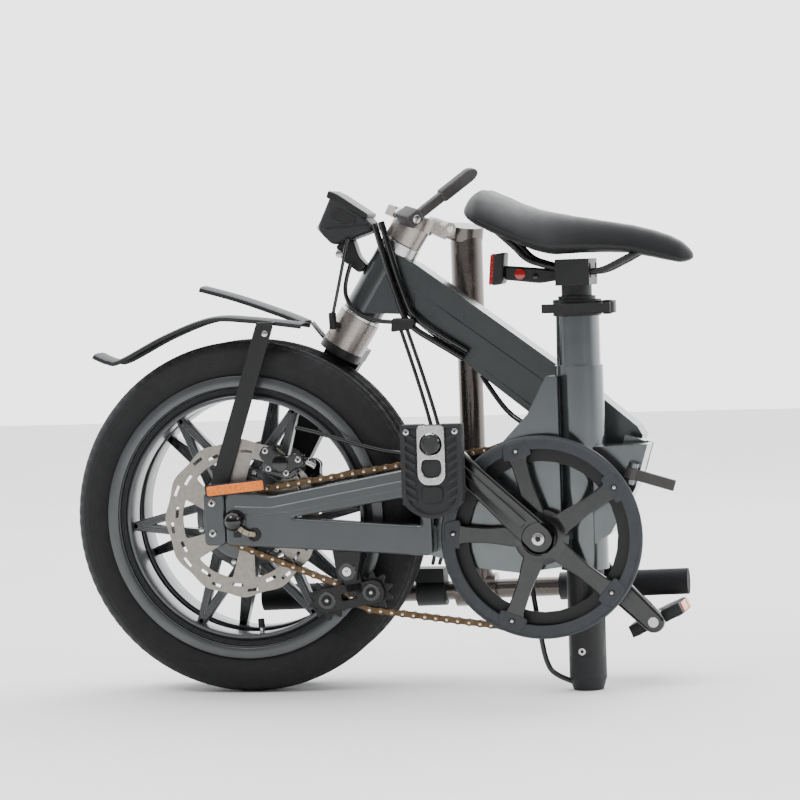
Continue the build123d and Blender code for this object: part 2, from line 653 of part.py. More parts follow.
def headlight():
    """Lamp, and the arm that holds it on the head tube."""
    arm = slab([(-289, 503.6), (-282, 488), (-262, 470), (-248, 478), (-262, 492), (-268, 510.6)],
               FRONT_Y - 12, FRONT_Y + 12)
    arm -= local_rod(steer, 0, 0, -60, 60, HEAD_R)
    return group(headlight_shell(), arm - headlight_shell())


def front_mudguard():
    strip = slab(outline_of([(-448, 463), (-404, 450), (-352, 431), (-326, 420)], 3), FRONT_Y - 23,
                 FRONT_Y + 23)
    foot = rod((-324, FRONT_Y + 11, 417), (-310, FRONT_Y + 11, 399), 4)
    return strip + foot


def frame_latch_lever():
    lever = local_rod(hinge, 0, LATCH_Y, -16, -4, 7)
    lever += local_block(hinge, 4, 50, LATCH_Y - 4, LATCH_Y + 3, -16, -4)
    return lever - local_rod(hinge, 0, LATCH_Y, -17, -3, 3 + RUN)


# ---------------------------------------------------------------- cables
def front_cables():
    """Main bundle to the beam, brake loop, lamp lead and the two leads down to the bar."""
    routes = [
        ([(-238, 46, 528), (-224, 45, 476), (-213, 44, 441), (-204, 44, 412), (-165, 45, 388),
          (-140, 46, 372)], 3.6),
        ([(-230, 46, 530), (-216, 45, 478), (-205, 44, 444), (-196, 44, 420), (-160, 45, 396),
          (-134, 46, 380)], 3.6),
        ([(-268, 49, 483), (-276, 48, 461), (-274, 48, 441), (-260, 48, 424), (-238, 48, 416),
          (-215, 48, 415)], 2.5),
        ([(-271, 49, 512), (-280, 49, 470), (-292, 52, 424)], 2.0),
        ([(-211, 38, 411), (-175, 38, 298), (-172, 52, 230), (-182, 84, 170), (-196, 110, 132)], 2.2),
        ([(-203, 38, 409), (-166, 38, 296), (-163, 52, 228), (-172, 84, 168), (-188, 110, 132)], 2.2),
    ]
    return group(*[cable(points, radius) for points, radius in routes])


def rear_hoses():
    """Brake hose along the chain's top run, and the loom that crosses under the beam."""
    hose = cable([(-318, -40, 302), (-290, -37, 295), (-250, -32, 281), (-200, -27, 268),
                  (-160, -24, 266)], 2.5)
    loom = cable([(-120, 66, 343), (-104, 62, 322), (-86, 56, 303), (-62, 44, 291),
                  (-40, 26, 286)], 3.0)
    return group(hose, loom)


def battery_lead():
    return cable([(-62, -8, 133), (-56, -9, 92), (-50, -10, 56), (-46, -10, 34), (-38, -9, 17),
                  (-23.4, -6, 11)], 3.0)


# ---------------------------------------------------------------- the whole bicycle
front_tube = [tyre(FRONT_X, FRONT_Y), inner_tube(FRONT_X, FRONT_Y), valve(FRONT_X, FRONT_Y, 20)]
nodes = {
    "rear_frame": rear_frame(),
    "swingarm": group(swingarm(), block(-422, -397, -62, -47, 172, 232)),
    "frame_hinge_pin": local_rod(hinge, 0, 0, -24, 24, HINGE_PIN_R),
    "seat_clamp_collar": seat_clamp(),
    "seat_clamp_lever": seat_lever(),
    "rear_axle": group(*axle(REAR_X, 0, -66, 34),
                       across(REAR_X, AXLE_Z, -13, 13, 46, AXLE_R)),
    "rear_axle_cap": across(REAR_X, AXLE_Z, -80, -62, 19) - across(REAR_X, AXLE_Z, -66, -62, 7),
    "rear_caliper": rear_caliper(),
    "rear_mudguard": group(rear_mudguard(), mudguard_stay()),
    "side_reflector": Pos(-384, -63.5, 236.5) * Rot(0, -5.5, 0) * Box(70, 3, 14),
    "tensioner_bracket": tensioner_bracket(),
    "chain": chain(),
    "rear_wheel": wheel(REAR_X, 0, HUB_R, 4, 49),
    "motor_cover": motor_cover(),
    "rear_tyre": group(tyre(REAR_X, 0), inner_tube(REAR_X, 0), valve(REAR_X, 0, 4)),
    "rear_rotor": rotor(REAR_X, -30.5, -28.5, ROTOR_R),
    "rear_sprocket": toothed(REAR_X, AXLE_Z, SPROCKET_R, 14, 4.4, AXLE_R + RUN),
    "crank_spindle": crank_spindle(),
    "right_crank": crank(-1),
    "left_crank": crank(1),
    "chainring": chainring(),
    "chain_guard": chain_guard(),
    "right_pedal_axle": pedal_axle(-1),
    "left_pedal_axle": pedal_axle(1),
    "right_pedal": right_pedal(),
    "left_pedal": left_pedal(),
    "tensioner_cage": tensioner_cage(),
    "lower_pulley": pulley(PULLEY_LOW),
    "upper_pulley": pulley(PULLEY_HIGH),
    "seatpost": seatpost(),
    "battery_pack": battery_pack(),
    "foot_cap": foot_cap(),
    "saddle_rails": group(saddle_rails(), saddle_clamp()),
    "saddle": saddle(),
    "rear_light": group(rear_light(), light_bracket()),
    "front_frame": front_frame(),
    "headset_cups": headset_cups(),
    "headlight": headlight(),
    "fork": fork(),
    "crown_sleeve": crown_sleeve(),
    "stem_head": stem_head(),
    "stem_latch": stem_latch(),
    "handlepost_pin": local_rod(post_side, 0, 0, -20, 20, 4),
    "front_axle": group(*axle(FRONT_X, FRONT_Y, 50, 130)),
    "front_caliper": front_caliper(),
    "front_mudguard": front_mudguard(),
    "front_wheel": wheel(FRONT_X, FRONT_Y, FRONT_HUB_R, 20, 0),
    "front_tyre": group(*front_tube),
    "front_rotor": rotor(FRONT_X, 101, 103, FRONT_ROTOR_R),
    "handlepost": handlepost(),
    "inner_post": inner_post(),
    "handlebar": handlebar(),
    "grips": grips(),
    "bar_controls": bar_controls(),
    "right_brake_lever": brake_lever(-1),
    "left_brake_lever": brake_lever(1),
    "frame_latch_lever": frame_latch_lever(),
    "front_cables": front_cables(),
    "rear_hoses": rear_hoses(),
    "battery_lead": battery_lead(),
}

os.makedirs("parts", exist_ok=True)
for name, shape in nodes.items():
    export_step(shape, f"parts/{name}.step")
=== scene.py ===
from math import asin, atan2, cos, exp, hypot, pi, radians, sin, sqrt

import bmesh
import bpy
from mathutils import Matrix, Vector


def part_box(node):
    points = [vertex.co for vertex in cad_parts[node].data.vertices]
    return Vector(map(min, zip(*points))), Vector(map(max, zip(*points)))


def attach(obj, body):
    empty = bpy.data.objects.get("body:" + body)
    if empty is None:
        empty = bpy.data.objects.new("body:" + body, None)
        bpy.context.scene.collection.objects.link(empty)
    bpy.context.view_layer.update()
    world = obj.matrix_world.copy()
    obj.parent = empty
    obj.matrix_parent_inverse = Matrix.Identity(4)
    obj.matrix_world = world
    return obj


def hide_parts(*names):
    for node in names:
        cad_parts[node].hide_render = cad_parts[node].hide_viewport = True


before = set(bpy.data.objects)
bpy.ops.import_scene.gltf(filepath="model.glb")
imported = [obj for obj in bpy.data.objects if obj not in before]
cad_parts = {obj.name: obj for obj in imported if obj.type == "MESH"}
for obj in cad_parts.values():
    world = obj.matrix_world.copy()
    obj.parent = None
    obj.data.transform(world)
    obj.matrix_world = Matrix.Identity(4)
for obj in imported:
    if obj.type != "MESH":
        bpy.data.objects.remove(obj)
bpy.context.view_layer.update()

# Outlines and routes are in millimetres, with X to the right and Z up in a side view.
MM = 0.001


def centre(node):
    low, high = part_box(node)
    return (low + high) / 2 / MM


REAR, FRONT = centre("rear_tyre"), centre("front_tyre")
BRACKET = centre("chain_guard")
SPROCKET, RING = centre("rear_sprocket"), centre("chainring")
LOW_PULLEY, HIGH_PULLEY = centre("lower_pulley"), centre("upper_pulley")
CHAIN_Y = SPROCKET.y

# Radii at which the chain's pins run, the chain's pitch, and the cranks' length and angle.
SPROCKET_R, RING_R, PULLEY_R, PITCH = 28.5, 105.2, 20.5, 12.7
CRANK_LENGTH, CRANK_ANGLE = 152, 44.5

# The tyre's section: its centre's radius, its half height and width, and the tread's half angle.
TYRE_RING_R, TYRE_HALF, TYRE_WIDE, TREAD_ANGLE, TREAD_STEP = 178, 22, 23.3, 125, 4

# Where the spokes end at the rim, and how far each of a pair leans at the hub, in degrees.
SPOKE_TIP_R, SPOKE_COUNT, SPOKE_LEAN = 136, 6, 17

# The saddle's tail and length, and the number of points along and round it.
SADDLE_TAIL, SADDLE_LENGTH, SADDLE_ROWS, SADDLE_AROUND = -116, 247.5, 44, 56


# ---------------------------------------------------------------- materials
def linear(red, green, blue):
    """Colour from 0 to 255 as the renderer's linear values."""
    return tuple((v / 255) ** 2.2 for v in (red, green, blue))


def set_inputs(node, values):
    for name, value in values.items():
        node.inputs[name].default_value = value


def add_node(nodes, kind, values):
    """New shader node with these input values."""
    made = nodes.new(kind)
    set_inputs(made, values)
    return made


def finish_of(name, colour, rough, metal=0.0, coat=0.0, grain=90.0, shift=0.12, bump=0.12,
              edge=0.0, edge_size=0.8, stretch=(1, 1, 1), specular=0.5, fine=900.0):
    """Material with mottled colour and roughness, fine bump and, if asked, soft edges lightened by
    a painted highlight.
    """
    made = bpy.data.materials.new(name)
    made.use_nodes = True
    nodes, link = made.node_tree.nodes, made.node_tree.links.new
    shader = nodes["Principled BSDF"]
    set_inputs(shader, {"Metallic": metal, "Coat Weight": coat, "Coat Roughness": 0.12,
                        "Specular IOR Level": specular})
    base = linear(*colour)
    place = nodes.new("ShaderNodeTexCoord")
    mapping = add_node(nodes, "ShaderNodeMapping", {"Scale": stretch})
    link(place.outputs["Object"], mapping.inputs["Vector"])

    def noise(scale, detail):
        made_noise = add_node(nodes, "ShaderNodeTexNoise", {"Scale": scale, "Detail": detail})
        link(mapping.outputs["Vector"], made_noise.inputs["Vector"])
        return made_noise.outputs["Fac"]

    mottle = noise(grain, 5)
    tones = nodes.new("ShaderNodeValToRGB")
    dark, light = tones.color_ramp.elements
    dark.position, light.position = 0.3, 0.7
    dark.color = (*[c * (1 - shift) for c in base], 1)
    light.color = (*[min(c * (1 + shift), 1) for c in base], 1)
    link(mottle, tones.inputs["Fac"])
    colour_out = tones.outputs["Color"]
    # Painted highlight: where the bevel normal bends away from the surface, the colour is mixed
    # towards a lighter copy of itself.
    if edge:
        softened = add_node(nodes, "ShaderNodeBevel", {"Radius": edge_size * MM})
        softened.samples = 4
        geometry = nodes.new("ShaderNodeNewGeometry")
        facing = nodes.new("ShaderNodeVectorMath")
        facing.operation = "DOT_PRODUCT"
        link(softened.outputs["Normal"], facing.inputs[0])
        link(geometry.outputs["Normal"], facing.inputs[1])
        painted_edge_highlight = add_node(nodes, "ShaderNodeMapRange",
                        {"From Min": 0.995, "From Max": 0.86, "To Max": edge})
        link(facing.outputs["Value"], painted_edge_highlight.inputs["Value"])
        highlight_mix = nodes.new("ShaderNodeMix")
        highlight_mix.data_type = "RGBA"
        link(painted_edge_highlight.outputs["Result"], highlight_mix.inputs["Factor"])
        link(colour_out, highlight_mix.inputs["A"])
        highlight_mix.inputs["B"].default_value = (*[min(c * 2.2 + 0.05, 1) for c in base], 1)
        colour_out = highlight_mix.outputs["Result"]
    link(colour_out, shader.inputs["Base Color"])
    roughness = add_node(nodes, "ShaderNodeMapRange",
                         {"To Min": max(rough - 0.07, 0.02), "To Max": min(rough + 0.09, 1)})
    link(noise(grain * 2.7, 3), roughness.inputs["Value"])
    link(roughness.outputs["Result"], shader.inputs["Roughness"])
    relief = add_node(nodes, "ShaderNodeBump", {"Strength": bump, "Distance": 0.3 * MM})
    link(noise(fine, 4), relief.inputs["Height"])
    if edge:
        link(softened.outputs["Normal"], relief.inputs["Normal"])
    link(relief.outputs["Normal"], shader.inputs["Normal"])
    return made


gunmetal = finish_of("gunmetal_paint", (68, 71, 72), 0.3, metal=0.7, coat=0.45, edge=0.4, grain=25,
                     shift=0.04, bump=0.03, edge_size=1.3)
wheel_paint = finish_of("wheel_paint", (78, 80, 81), 0.34, metal=0.65, coat=0.3, edge=0.5, grain=30,
                        bump=0.04, shift=0.08, edge_size=0.9)
wheel_dark = finish_of("wheel_dark_band", (30, 31, 33), 0.6, metal=0.2, grain=80)
# Lighter copy of the frame's gunmetal paint for the rear frame. Its lighter base colour is a
# painted highlight, and its lower roughness catches real highlights.
lit_frame_paint = finish_of("seat_tube_lit_paint", (92, 96, 97), 0.2, metal=0.85, coat=0.5, grain=20,
                     shift=0.03, bump=0.02, edge=0.12, edge_size=1.0)
titanium = finish_of("titanium_grey", (98, 92, 88), 0.24, metal=0.85, coat=0.3, grain=25,
                     shift=0.04, bump=0.03)
dark_lever = finish_of("dark_lever_metal", (66, 64, 63), 0.5, metal=0.4, edge=0.3, shift=0.08)
brushed = finish_of("brushed_light_metal", (150, 143, 137), 0.27, metal=0.9, stretch=(1, 1, 14),
                    grain=120, bump=0.15)
steel = finish_of("bright_steel", (190, 190, 188), 0.25, metal=1.0, grain=150, shift=0.1, edge=0.2)
rotor_metal = finish_of("rotor_metal", (150, 144, 136), 0.36, metal=0.85, stretch=(1, 8, 1),
                        grain=160, edge=0.2, edge_size=0.3)
chain_metal = finish_of("chain_bronze", (96, 78, 58), 0.38, metal=0.85, grain=200, shift=0.25,
                        bump=0.2, edge=0.25, edge_size=0.3)
pin_metal = finish_of("chain_pin", (206, 200, 188), 0.25, metal=1.0, grain=300)
gloss_black = finish_of("gloss_black", (7, 7, 8), 0.16, coat=0.3, edge=0.15, grain=60,
                        bump=0.05, edge_size=1.0)
satin_black = finish_of("satin_black", (19, 19, 20), 0.46, metal=0.1, edge=0.12, bump=0.2)
moulded = finish_of("moulded_black", (25, 26, 28), 0.58, edge=0.1, grain=120, bump=0.45, fine=1500)
slate = finish_of("slate_guard", (44, 47, 51), 0.42, edge=0.2, grain=110, bump=0.3, fine=1300)
rubber = finish_of("tyre_rubber", (32, 32, 33), 0.78, grain=45, shift=0.16, bump=0.5, fine=1100,
                   specular=0.35)
grip_rubber = finish_of("grip_rubber", (38, 38, 40), 0.8, grain=150, shift=0.1, bump=0.6, fine=1700,
                        specular=0.3)
vinyl = finish_of("saddle_vinyl", (29, 29, 30), 0.5, grain=35, shift=0.1, bump=0.3, fine=1250,
                  specular=0.3)
cable_skin = finish_of("cable_skin", (10, 10, 11), 0.24, coat=0.3, bump=0.06)
beige = finish_of("beige_cable", (150, 139, 120), 0.5, bump=0.1)
red_lens = finish_of("red_lens", (150, 12, 12), 0.12, coat=0.6, grain=70, shift=0.1, bump=0.08)
amber = finish_of("amber_reflector", (238, 118, 0), 0.2, coat=0.2, grain=420, shift=0.3, bump=0.7,
                  fine=480)
lamp_glass = finish_of("lamp_glass", (205, 210, 214), 0.1, coat=0.6, grain=70, bump=0.05)
white_metal = finish_of("white_bolt", (222, 222, 218), 0.4, metal=0.2)


# ---------------------------------------------------------------- mesh helpers
def smooth_by_angle(mesh, angle=32):
    mesh.polygons.foreach_set("use_smooth", [True] * len(mesh.polygons))
    mesh.set_sharp_from_angle(angle=radians(angle))
    return mesh


def coated(mesh, material):
    mesh.materials.clear()
    mesh.materials.append(material)
    return mesh


def rounded(points, radius, steps=4):
    """The outline with each corner turned into a short curve of about this radius."""
    out = []
    count = len(points)
    for i, here in enumerate(points):
        here = Vector(here)
        before, after = Vector(points[i - 1]), Vector(points[(i + 1) % count])
        to_before, to_after = before - here, after - here
        back = min(radius, to_before.length * 0.45)
        on = min(radius, to_after.length * 0.45)
        a, b = here + to_before.normalized() * back, here + to_after.normalized() * on
        for s in range(steps + 1):
            t = s / steps
            out.append(tuple(a * (1 - t) ** 2 + here * 2 * t * (1 - t) + b * t ** 2))
    return out


def polar(x, z, r, a):
    """Point at a radius and angle from a place in the side view."""
    return x + r * cos(a), z + r * sin(a)


def circle(x, z, r, count=48):
    return [polar(x, z, r, 2 * pi * i / count) for i in range(count)]


def plate(loops, y0, y1, bevel, material):
    """Flat piece in the side view, with holes for the inner loops and bevelled edges."""
    curve = bpy.data.curves.new("outline", "CURVE")
    curve.dimensions, curve.fill_mode = "2D", "BOTH"
    curve.extrude = max((y1 - y0) / 2 - bevel, 0.01) * MM
    curve.bevel_depth, curve.offset, curve.bevel_resolution = bevel * MM, -bevel * MM, 2
    for loop in loops:
        spline = curve.splines.new("POLY")
        spline.points.add(len(loop) - 1)
        for point, (x, z) in zip(spline.points, loop):
            point.co = (x * MM, z * MM, 0, 1)
        spline.use_cyclic_u = True
    holder = bpy.data.objects.new("outline", curve)
    mesh = bpy.data.meshes.new_from_object(holder)
    turn = Matrix(((1, 0, 0, 0), (0, 0, -1, 0), (0, 1, 0, 0), (0, 0, 0, 1)))
    mesh.transform(Matrix.Translation((0, (y0 + y1) / 2 * MM, 0)) @ turn)
    bpy.data.objects.remove(holder)
    return coated(smooth_by_angle(mesh), material)


def mesh_of(verts, faces, material, angle=32):
    mesh = bpy.data.meshes.new("piece")
    mesh.from_pydata([tuple(Vector(v) * MM) for v in verts], [], faces)
    mesh.validate()
    work = bmesh.new()
    work.from_mesh(mesh)
    bmesh.ops.recalc_face_normals(work, faces=work.faces)
    work.to_mesh(mesh)
    work.free()
    return coated(smooth_by_angle(mesh, angle), material)


def lathe(profile, at, material, segments=96, closed=True, shape=None, angle=32):
    """Radius and Y profile turned about the Y axis; shape may change a point's radius."""
    verts, faces = [], []
    count = len(profile)
    for s in range(segments):
        a = 2 * pi * s / segments
        for p, (r, y) in enumerate(profile):
            reach = shape(s, p, r, y) if shape else r
            verts.append((at[0] + reach * cos(a), at[1] + y, at[2] + reach * sin(a)))
    for s in range(segments):
        for p in range(count if closed else count - 1):
            a, b = s * count + p, s * count + (p + 1) % count
            c, d = (s + 1) % segments * count + (p + 1) % count, (s + 1) % segments * count + p
            faces.append((a, b, c, d))
    return mesh_of(verts, faces, material, angle)


def skin(rings, around):
    """Faces between closed rings of points, with a cap at each end."""
    faces = []
    for k in range(rings - 1):
        for s in range(around):
            t = (s + 1) % around
            faces.append((k * around + s, k * around + t, (k + 1) * around + t,
                          (k + 1) * around + s))
    faces.append(tuple(range(around)))
    faces.append(tuple(range((rings - 1) * around, rings * around)))
    return faces


def rod(start, end, r0, material, r1=None, soft=0.8, sides=40):
    """Round bar with rounded rims between two points."""
    start, end = Vector(start), Vector(end)
    r1 = r0 if r1 is None else r1
    way = (end - start).normalized()
    side = way.orthogonal().normalized()
    other = way.cross(side)
    length = (end - start).length
    soft = min(soft, length / 3, r0 / 2, r1 / 2)
    rings = [(0, r0 - soft), (soft * 0.3, r0 - soft * 0.3), (soft, r0), (length - soft, r1),
             (length - soft * 0.3, r1 - soft * 0.3), (length, r1 - soft)]
    verts = []
    for along, r in rings:
        for s in range(sides):
            a = 2 * pi * s / sides
            verts.append(start + way * along + (side * cos(a) + other * sin(a)) * r)
    return mesh_of(verts, skin(len(rings), sides), material)


def pin(x, z, y0, y1, radius, material, soft=0.8, sides=40):
    """Round bar along Y at a place in the side view."""
    return rod((x, y0, z), (x, y1, z), radius, material, soft=soft, sides=sides)


def slab(points, corner, y0, y1, bevel, material, steps=4):
    """Plate without holes whose corners are rounded."""
    return plate([rounded(points, corner, steps)], y0, y1, bevel, material)


def warped(mesh, move):
    """The mesh with each point, in millimetres, moved by a rule."""
    for v in mesh.vertices:
        v.co = Vector(move(v.co / MM)) * MM
    return mesh


def placed(meshes, place):
    for mesh in meshes:
        mesh.transform(place)


def piece(name, body, meshes, replaces=()):
    """One object from several meshes, riding on a body."""
    work, materials = bmesh.new(), []
    for mesh in meshes:
        first = len(work.faces)
        work.from_mesh(mesh)
        work.faces.ensure_lookup_table()
        for material in mesh.materials:
            if material not in materials:
                materials.append(material)
        wanted = [materials.index(m) for m in mesh.materials]
        for face in work.faces[first:]:
            face.material_index = wanted[face.material_index]
    joined = bpy.data.meshes.new(name)
    work.to_mesh(joined)
    work.free()
    for material in materials:
        joined.materials.append(material)
    made = bpy.data.objects.new(name, joined)
    bpy.context.scene.collection.objects.link(made)
    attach(made, body)
    if replaces:
        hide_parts(*replaces)
    return made


# ---------------------------------------------------------------- tyres
def tyre_profile():
    """Outer side with its raised rings, and the whole section down to the beads."""
    out = []
    for a in range(-TREAD_ANGLE, TREAD_ANGLE + 1, TREAD_STEP):
        swell = 0.55 * sum(exp(-((abs(a) - at) / 2.2) ** 2) for at in (62, 76, 92, 106))
        out.append((TYRE_RING_R + (TYRE_HALF + swell) * cos(radians(a)),
                    (TYRE_WIDE + swell) * sin(radians(a))))
    beads = [(162, 16.6), (154, 16.2), (154, 12.5), (163, 13)]
    inner = [(TYRE_RING_R + 19 * cos(radians(a)), 20.5 * sin(radians(a))) for a in range(120, -121,
                                                                                         -20)]
    return out, out + beads + inner + [(r, -w) for r, w in beads[::-1]]


def tyre(name, at, body, node):
    """Tyre with a centre groove and slanted cuts on alternate sides of the tread."""
    tread, profile = tyre_profile()
    cut_every = 4
    segments = cut_every * 90

    def cut(s, p, r, y):
        if p >= len(tread):
            return r
        a = abs(-TREAD_ANGLE + TREAD_STEP * p)
        if a < 3:
            return r - 1.4
        if 11 < a < 46 and s % cut_every == (1 if y > 0 else 3):
            return r - 1.7
        if 20 < a < 26:
            return r - 1.0
        return r

    piece(name, body, [lathe(profile, at, rubber, segments, shape=cut, angle=50)],
          [node])


tyre("rear_tyre_skin", REAR, "rear_wheel", "rear_tyre")
tyre("front_tyre_skin", FRONT, "front_wheel", "front_tyre")

RIM = [(134, 18), (138, 18), (141, 13), (146, 13), (149, 20), (161, 20), (161, 17), (153.5, 16.5),
       (152, 10), (144.5, 8)]


def bar_loop(p, q, w0, w1):
    """Outline of a straight bar with these half widths at its ends."""
    p, q = Vector(p), Vector(q)
    way = (q - p).normalized()
    side = Vector((-way.y, way.x))
    return [tuple(v) for v in (p + side * w0, q + side * w1, q - side * w1, p - side * w0)]


def wheel(name, at, body, hub_r, turn, nodes, cover_side):
    """Cast wheel: rim with its dark band, six V spokes with ridges, and the hub."""
    x, y, z = at
    outline = RIM + [(r, -w) for r, w in RIM[::-1]]
    meshes = [lathe(rounded(outline, 1.2, 2), at, wheel_paint, 192)]
    for side in (-1, 1):
        band = [(139.2, side * 16.2), (141.6, side * 13.25), (146, side * 13.25),
                (148.2, side * 18)]
        meshes.append(lathe(band, at, wheel_dark, 192, closed=False))
    for arm in range(SPOKE_COUNT):
        tip_a = radians(turn + 60 * arm)
        tip = polar(x, z, SPOKE_TIP_R, tip_a)
        for lean in (-SPOKE_LEAN, SPOKE_LEAN):
            root_a = tip_a + radians(lean)
            root = polar(x, z, hub_r - 3, root_a)
            meshes.append(plate([bar_loop(root, tip, 5.2, 4.4)], y - 8, y + 8, 1.6, wheel_paint))
            way = (Vector(tip) - Vector(root)).normalized()
            across = Vector((-way.y, way.x))
            for ridge in (-2.6, 0, 2.6):
                p = Vector(root) + across * ridge + way * 4
                q = Vector(tip) + across * ridge * 0.8 - way * 6
                for low, high in ((y - 9, y - 7.6), (y + 7.6, y + 9)):
                    meshes.append(plate([bar_loop(p, q, 0.7, 0.6)], low, high, 0.4, wheel_paint))
    shell = [(hub_r - 2, 17), (hub_r, 15), (hub_r, -15), (hub_r - 2, -17), (hub_r - 8, -20),
             (hub_r - 9, -23.6), (hub_r - 12, -24), (24, -24), (21, -26), (20, -28), (8, -28),
             (8, 24), (hub_r - 12, 24), (hub_r - 9, 23.6), (hub_r - 8, 20)]
    meshes.append(lathe(rounded([(r, w * cover_side) for r, w in shell], 1.0, 2), at, wheel_paint,
                        128))
    for step in range(6 if hub_r > 40 else 0):
        a = radians(15 + 60 * step)
        sx, sz = polar(x, z, hub_r - 5, a)
        for face in (-1, 1):
            meshes.append(pin(sx, sz, y + face * 19, y + face * 22, 3.2, steel, soft=0.6, sides=20))
    valve_a = radians(-85 if cover_side > 0 else turn + 30)
    way = Vector((cos(valve_a), 0, sin(valve_a)))
    meshes.append(rod(Vector(at) + way * 122, Vector(at) + way * 140, 2.9, steel, sides=20))
    meshes.append(rod(Vector(at) + way * 118, Vector(at) + way * 128, 3.8, moulded, sides=20))
    piece(name, body, meshes, nodes)


wheel("rear_cast_wheel", REAR, "rear_wheel", 57, 4, ["rear_wheel", "motor_cover"], 1)
wheel("front_cast_wheel", FRONT, "front_wheel", 30, 20, ["front_wheel"], -1)


def rotor(name, at, body, radius, node):
    """Brake disc with a wavy rim, two rows of slots, windows and a bolted carrier."""
    x, y, z = at
    outer = []
    for i in range(216):
        a = 2 * pi * i / 216
        r = radius - 1.6 + 1.5 * cos(12 * a)
        outer.append(polar(x, z, r, a))
    loops = [outer, circle(x, z, 20)]
    for step in range(12):
        a0 = 2 * pi * step / 12
        for r, spread in ((radius - 8, 0.075), (radius - 14, 0.085)):
            turn = 0.12 if r > radius - 10 else -0.1
            angles = [a0 + (k - 3) / 3 * spread + turn for k in range(7)]
            loops.append([polar(x, z, r + 1.7, a) for a in angles]
                         + [polar(x, z, r - 1.7, a) for a in angles[::-1]])
    for step in range(6):
        window = []
        for r, a, b in ((radius - 21, -0.33, 0.33), (34, 0.42, -0.12)):
            for k in range(7):
                t = 2 * pi * step / 6 + a + (b - a) * k / 6
                window.append(polar(x, z, r, t))
        loops.append(rounded(window, 3, 3))
    meshes = [plate(loops, y - 1, y + 1, 0.25, rotor_metal)]
    out = -1 if y < 0 else 1
    meshes.append(plate([circle(x, z, 27), circle(x, z, 9)], min(y, y + out * 2.4),
                        max(y, y + out * 2.4), 0.6, satin_black))
    for step in range(6):
        a = 2 * pi * step / 6 + 0.3
        meshes.append(pin(*polar(x, z, 22, a), y, y + out * 4.2, 3, steel, sides=16))
    piece(name, body, meshes, [node])


rotor("rear_disc", centre("rear_rotor"), "rear_wheel", 90, "rear_rotor")
rotor("front_disc", centre("front_rotor"), "front_wheel", 80, "front_rotor")


# ---------------------------------------------------------------- chain drive
def tooth_loop(x, z, pitch_r, teeth):
    """Outline of a sprocket, eight points to a tooth."""
    loop = []
    for i in range(teeth * 8):
        phase = (i % 8) / 8
        rise = (-3.9, -3.2, -0.6, 2.4, 3.3, 2.4, -0.6, -3.2)[i % 8]
        a = 2 * pi * (i // 8 + phase) / teeth
        loop.append(polar(x, z, pitch_r + rise, a))
    return loop


def chain_lines():
    """Tangent runs of the chain between its four wheels, as in a crossed belt."""
    wheels = [(SPROCKET.x, SPROCKET.z, SPROCKET_R, 1), (RING.x, RING.z, RING_R, 1),
              (HIGH_PULLEY.x, HIGH_PULLEY.z, PULLEY_R, 1),
              (LOW_PULLEY.x, LOW_PULLEY.z, PULLEY_R, -1)]
    lines = []
    for (x1, z1, r1, s1), (x2, z2, r2, s2) in zip(wheels, wheels[1:] + wheels[:1]):
        way = atan2(z2 - z1, x2 - x1) - asin((s1 * r1 - s2 * r2) / hypot(x2 - x1, z2 - z1))
        nx, nz = -sin(way), cos(way)
        lines.append((Vector((x1 + s1 * r1 * nx, z1 + s1 * r1 * nz)),
                      Vector((x2 + s2 * r2 * nx, z2 + s2 * r2 * nz))))
    return wheels, lines


def chain_points():
    """Pin places at one pitch all round the chain."""
    wheels, lines = chain_lines()
    dense = []
    for i, (start, end) in enumerate(lines):
        steps = int((end - start).length / 0.5)
        dense += [start.lerp(end, k / steps) for k in range(steps)]
        x, z, r, side = wheels[(i + 1) % 4]
        after = lines[(i + 1) % 4][0]
        a0, a1 = atan2(end.y - z, end.x - x), atan2(after.y - z, after.x - x)
        arc = (a1 - a0) % (2 * pi) - (2 * pi if side > 0 else 0)
        steps = int(abs(arc) * r / 0.5)
        dense += [Vector((x + r * cos(a0 + arc * k / steps), z + r * sin(a0 + arc * k / steps)))
                  for k in range(steps)]
    total = sum((b - a).length for a, b in zip(dense, dense[1:] + dense[:1]))
    count = round(total / PITCH / 2) * 2
    step, run, pins = total / count, 0.0, []
    for a, b in zip(dense, dense[1:] + dense[:1]):
        if run >= step * len(pins) and len(pins) < count:
            pins.append(a)
        run += (b - a).length
    return pins


def link_loop(a, b, r):
    """Figure-of-eight outline of a chain plate."""
    way = (b - a).normalized()
    side = Vector((-way.y, way.x))
    half = (b - a).length / 2
    loop = []
    for i in range(28):
        t = 2 * pi * i / 28
        along = cos(t) * (half + r)
        past = max(abs(along) - half, 0)
        waist = 0.72 + 0.28 * min(abs(along) / half, 1) ** 2
        reach = sqrt(max(r * r - past * past, 0)) * waist if past else r * waist
        point = (a + b) / 2 + way * along + side * reach * (1 if sin(t) >= 0 else -1)
        loop.append(tuple(point))
    return loop


def chain():
    """Chain of inner and outer plates with their pins and rollers."""
    pins = chain_points()
    meshes = []
    for i, a in enumerate(pins):
        b = pins[(i + 1) % len(pins)]
        inner = i % 2
        gap = 2.5 if inner else 3.5
        for side in (-1, 1):
            low, high = sorted((CHAIN_Y + side * gap, CHAIN_Y + side * (gap + 0.95)))
            meshes.append(plate([link_loop(a, b, 4.1)], low, high, 0.2, chain_metal))
        meshes.append(pin(a.x, a.y, CHAIN_Y - 4.8, CHAIN_Y + 4.8, 1.8, pin_metal, soft=0.3,
                          sides=12))
        meshes.append(pin(a.x, a.y, CHAIN_Y - 2.4, CHAIN_Y + 2.4, 3.8, chain_metal, soft=0.3,
                          sides=14))
    piece("drive_chain", "rear_half", meshes, ["chain"])


chain()


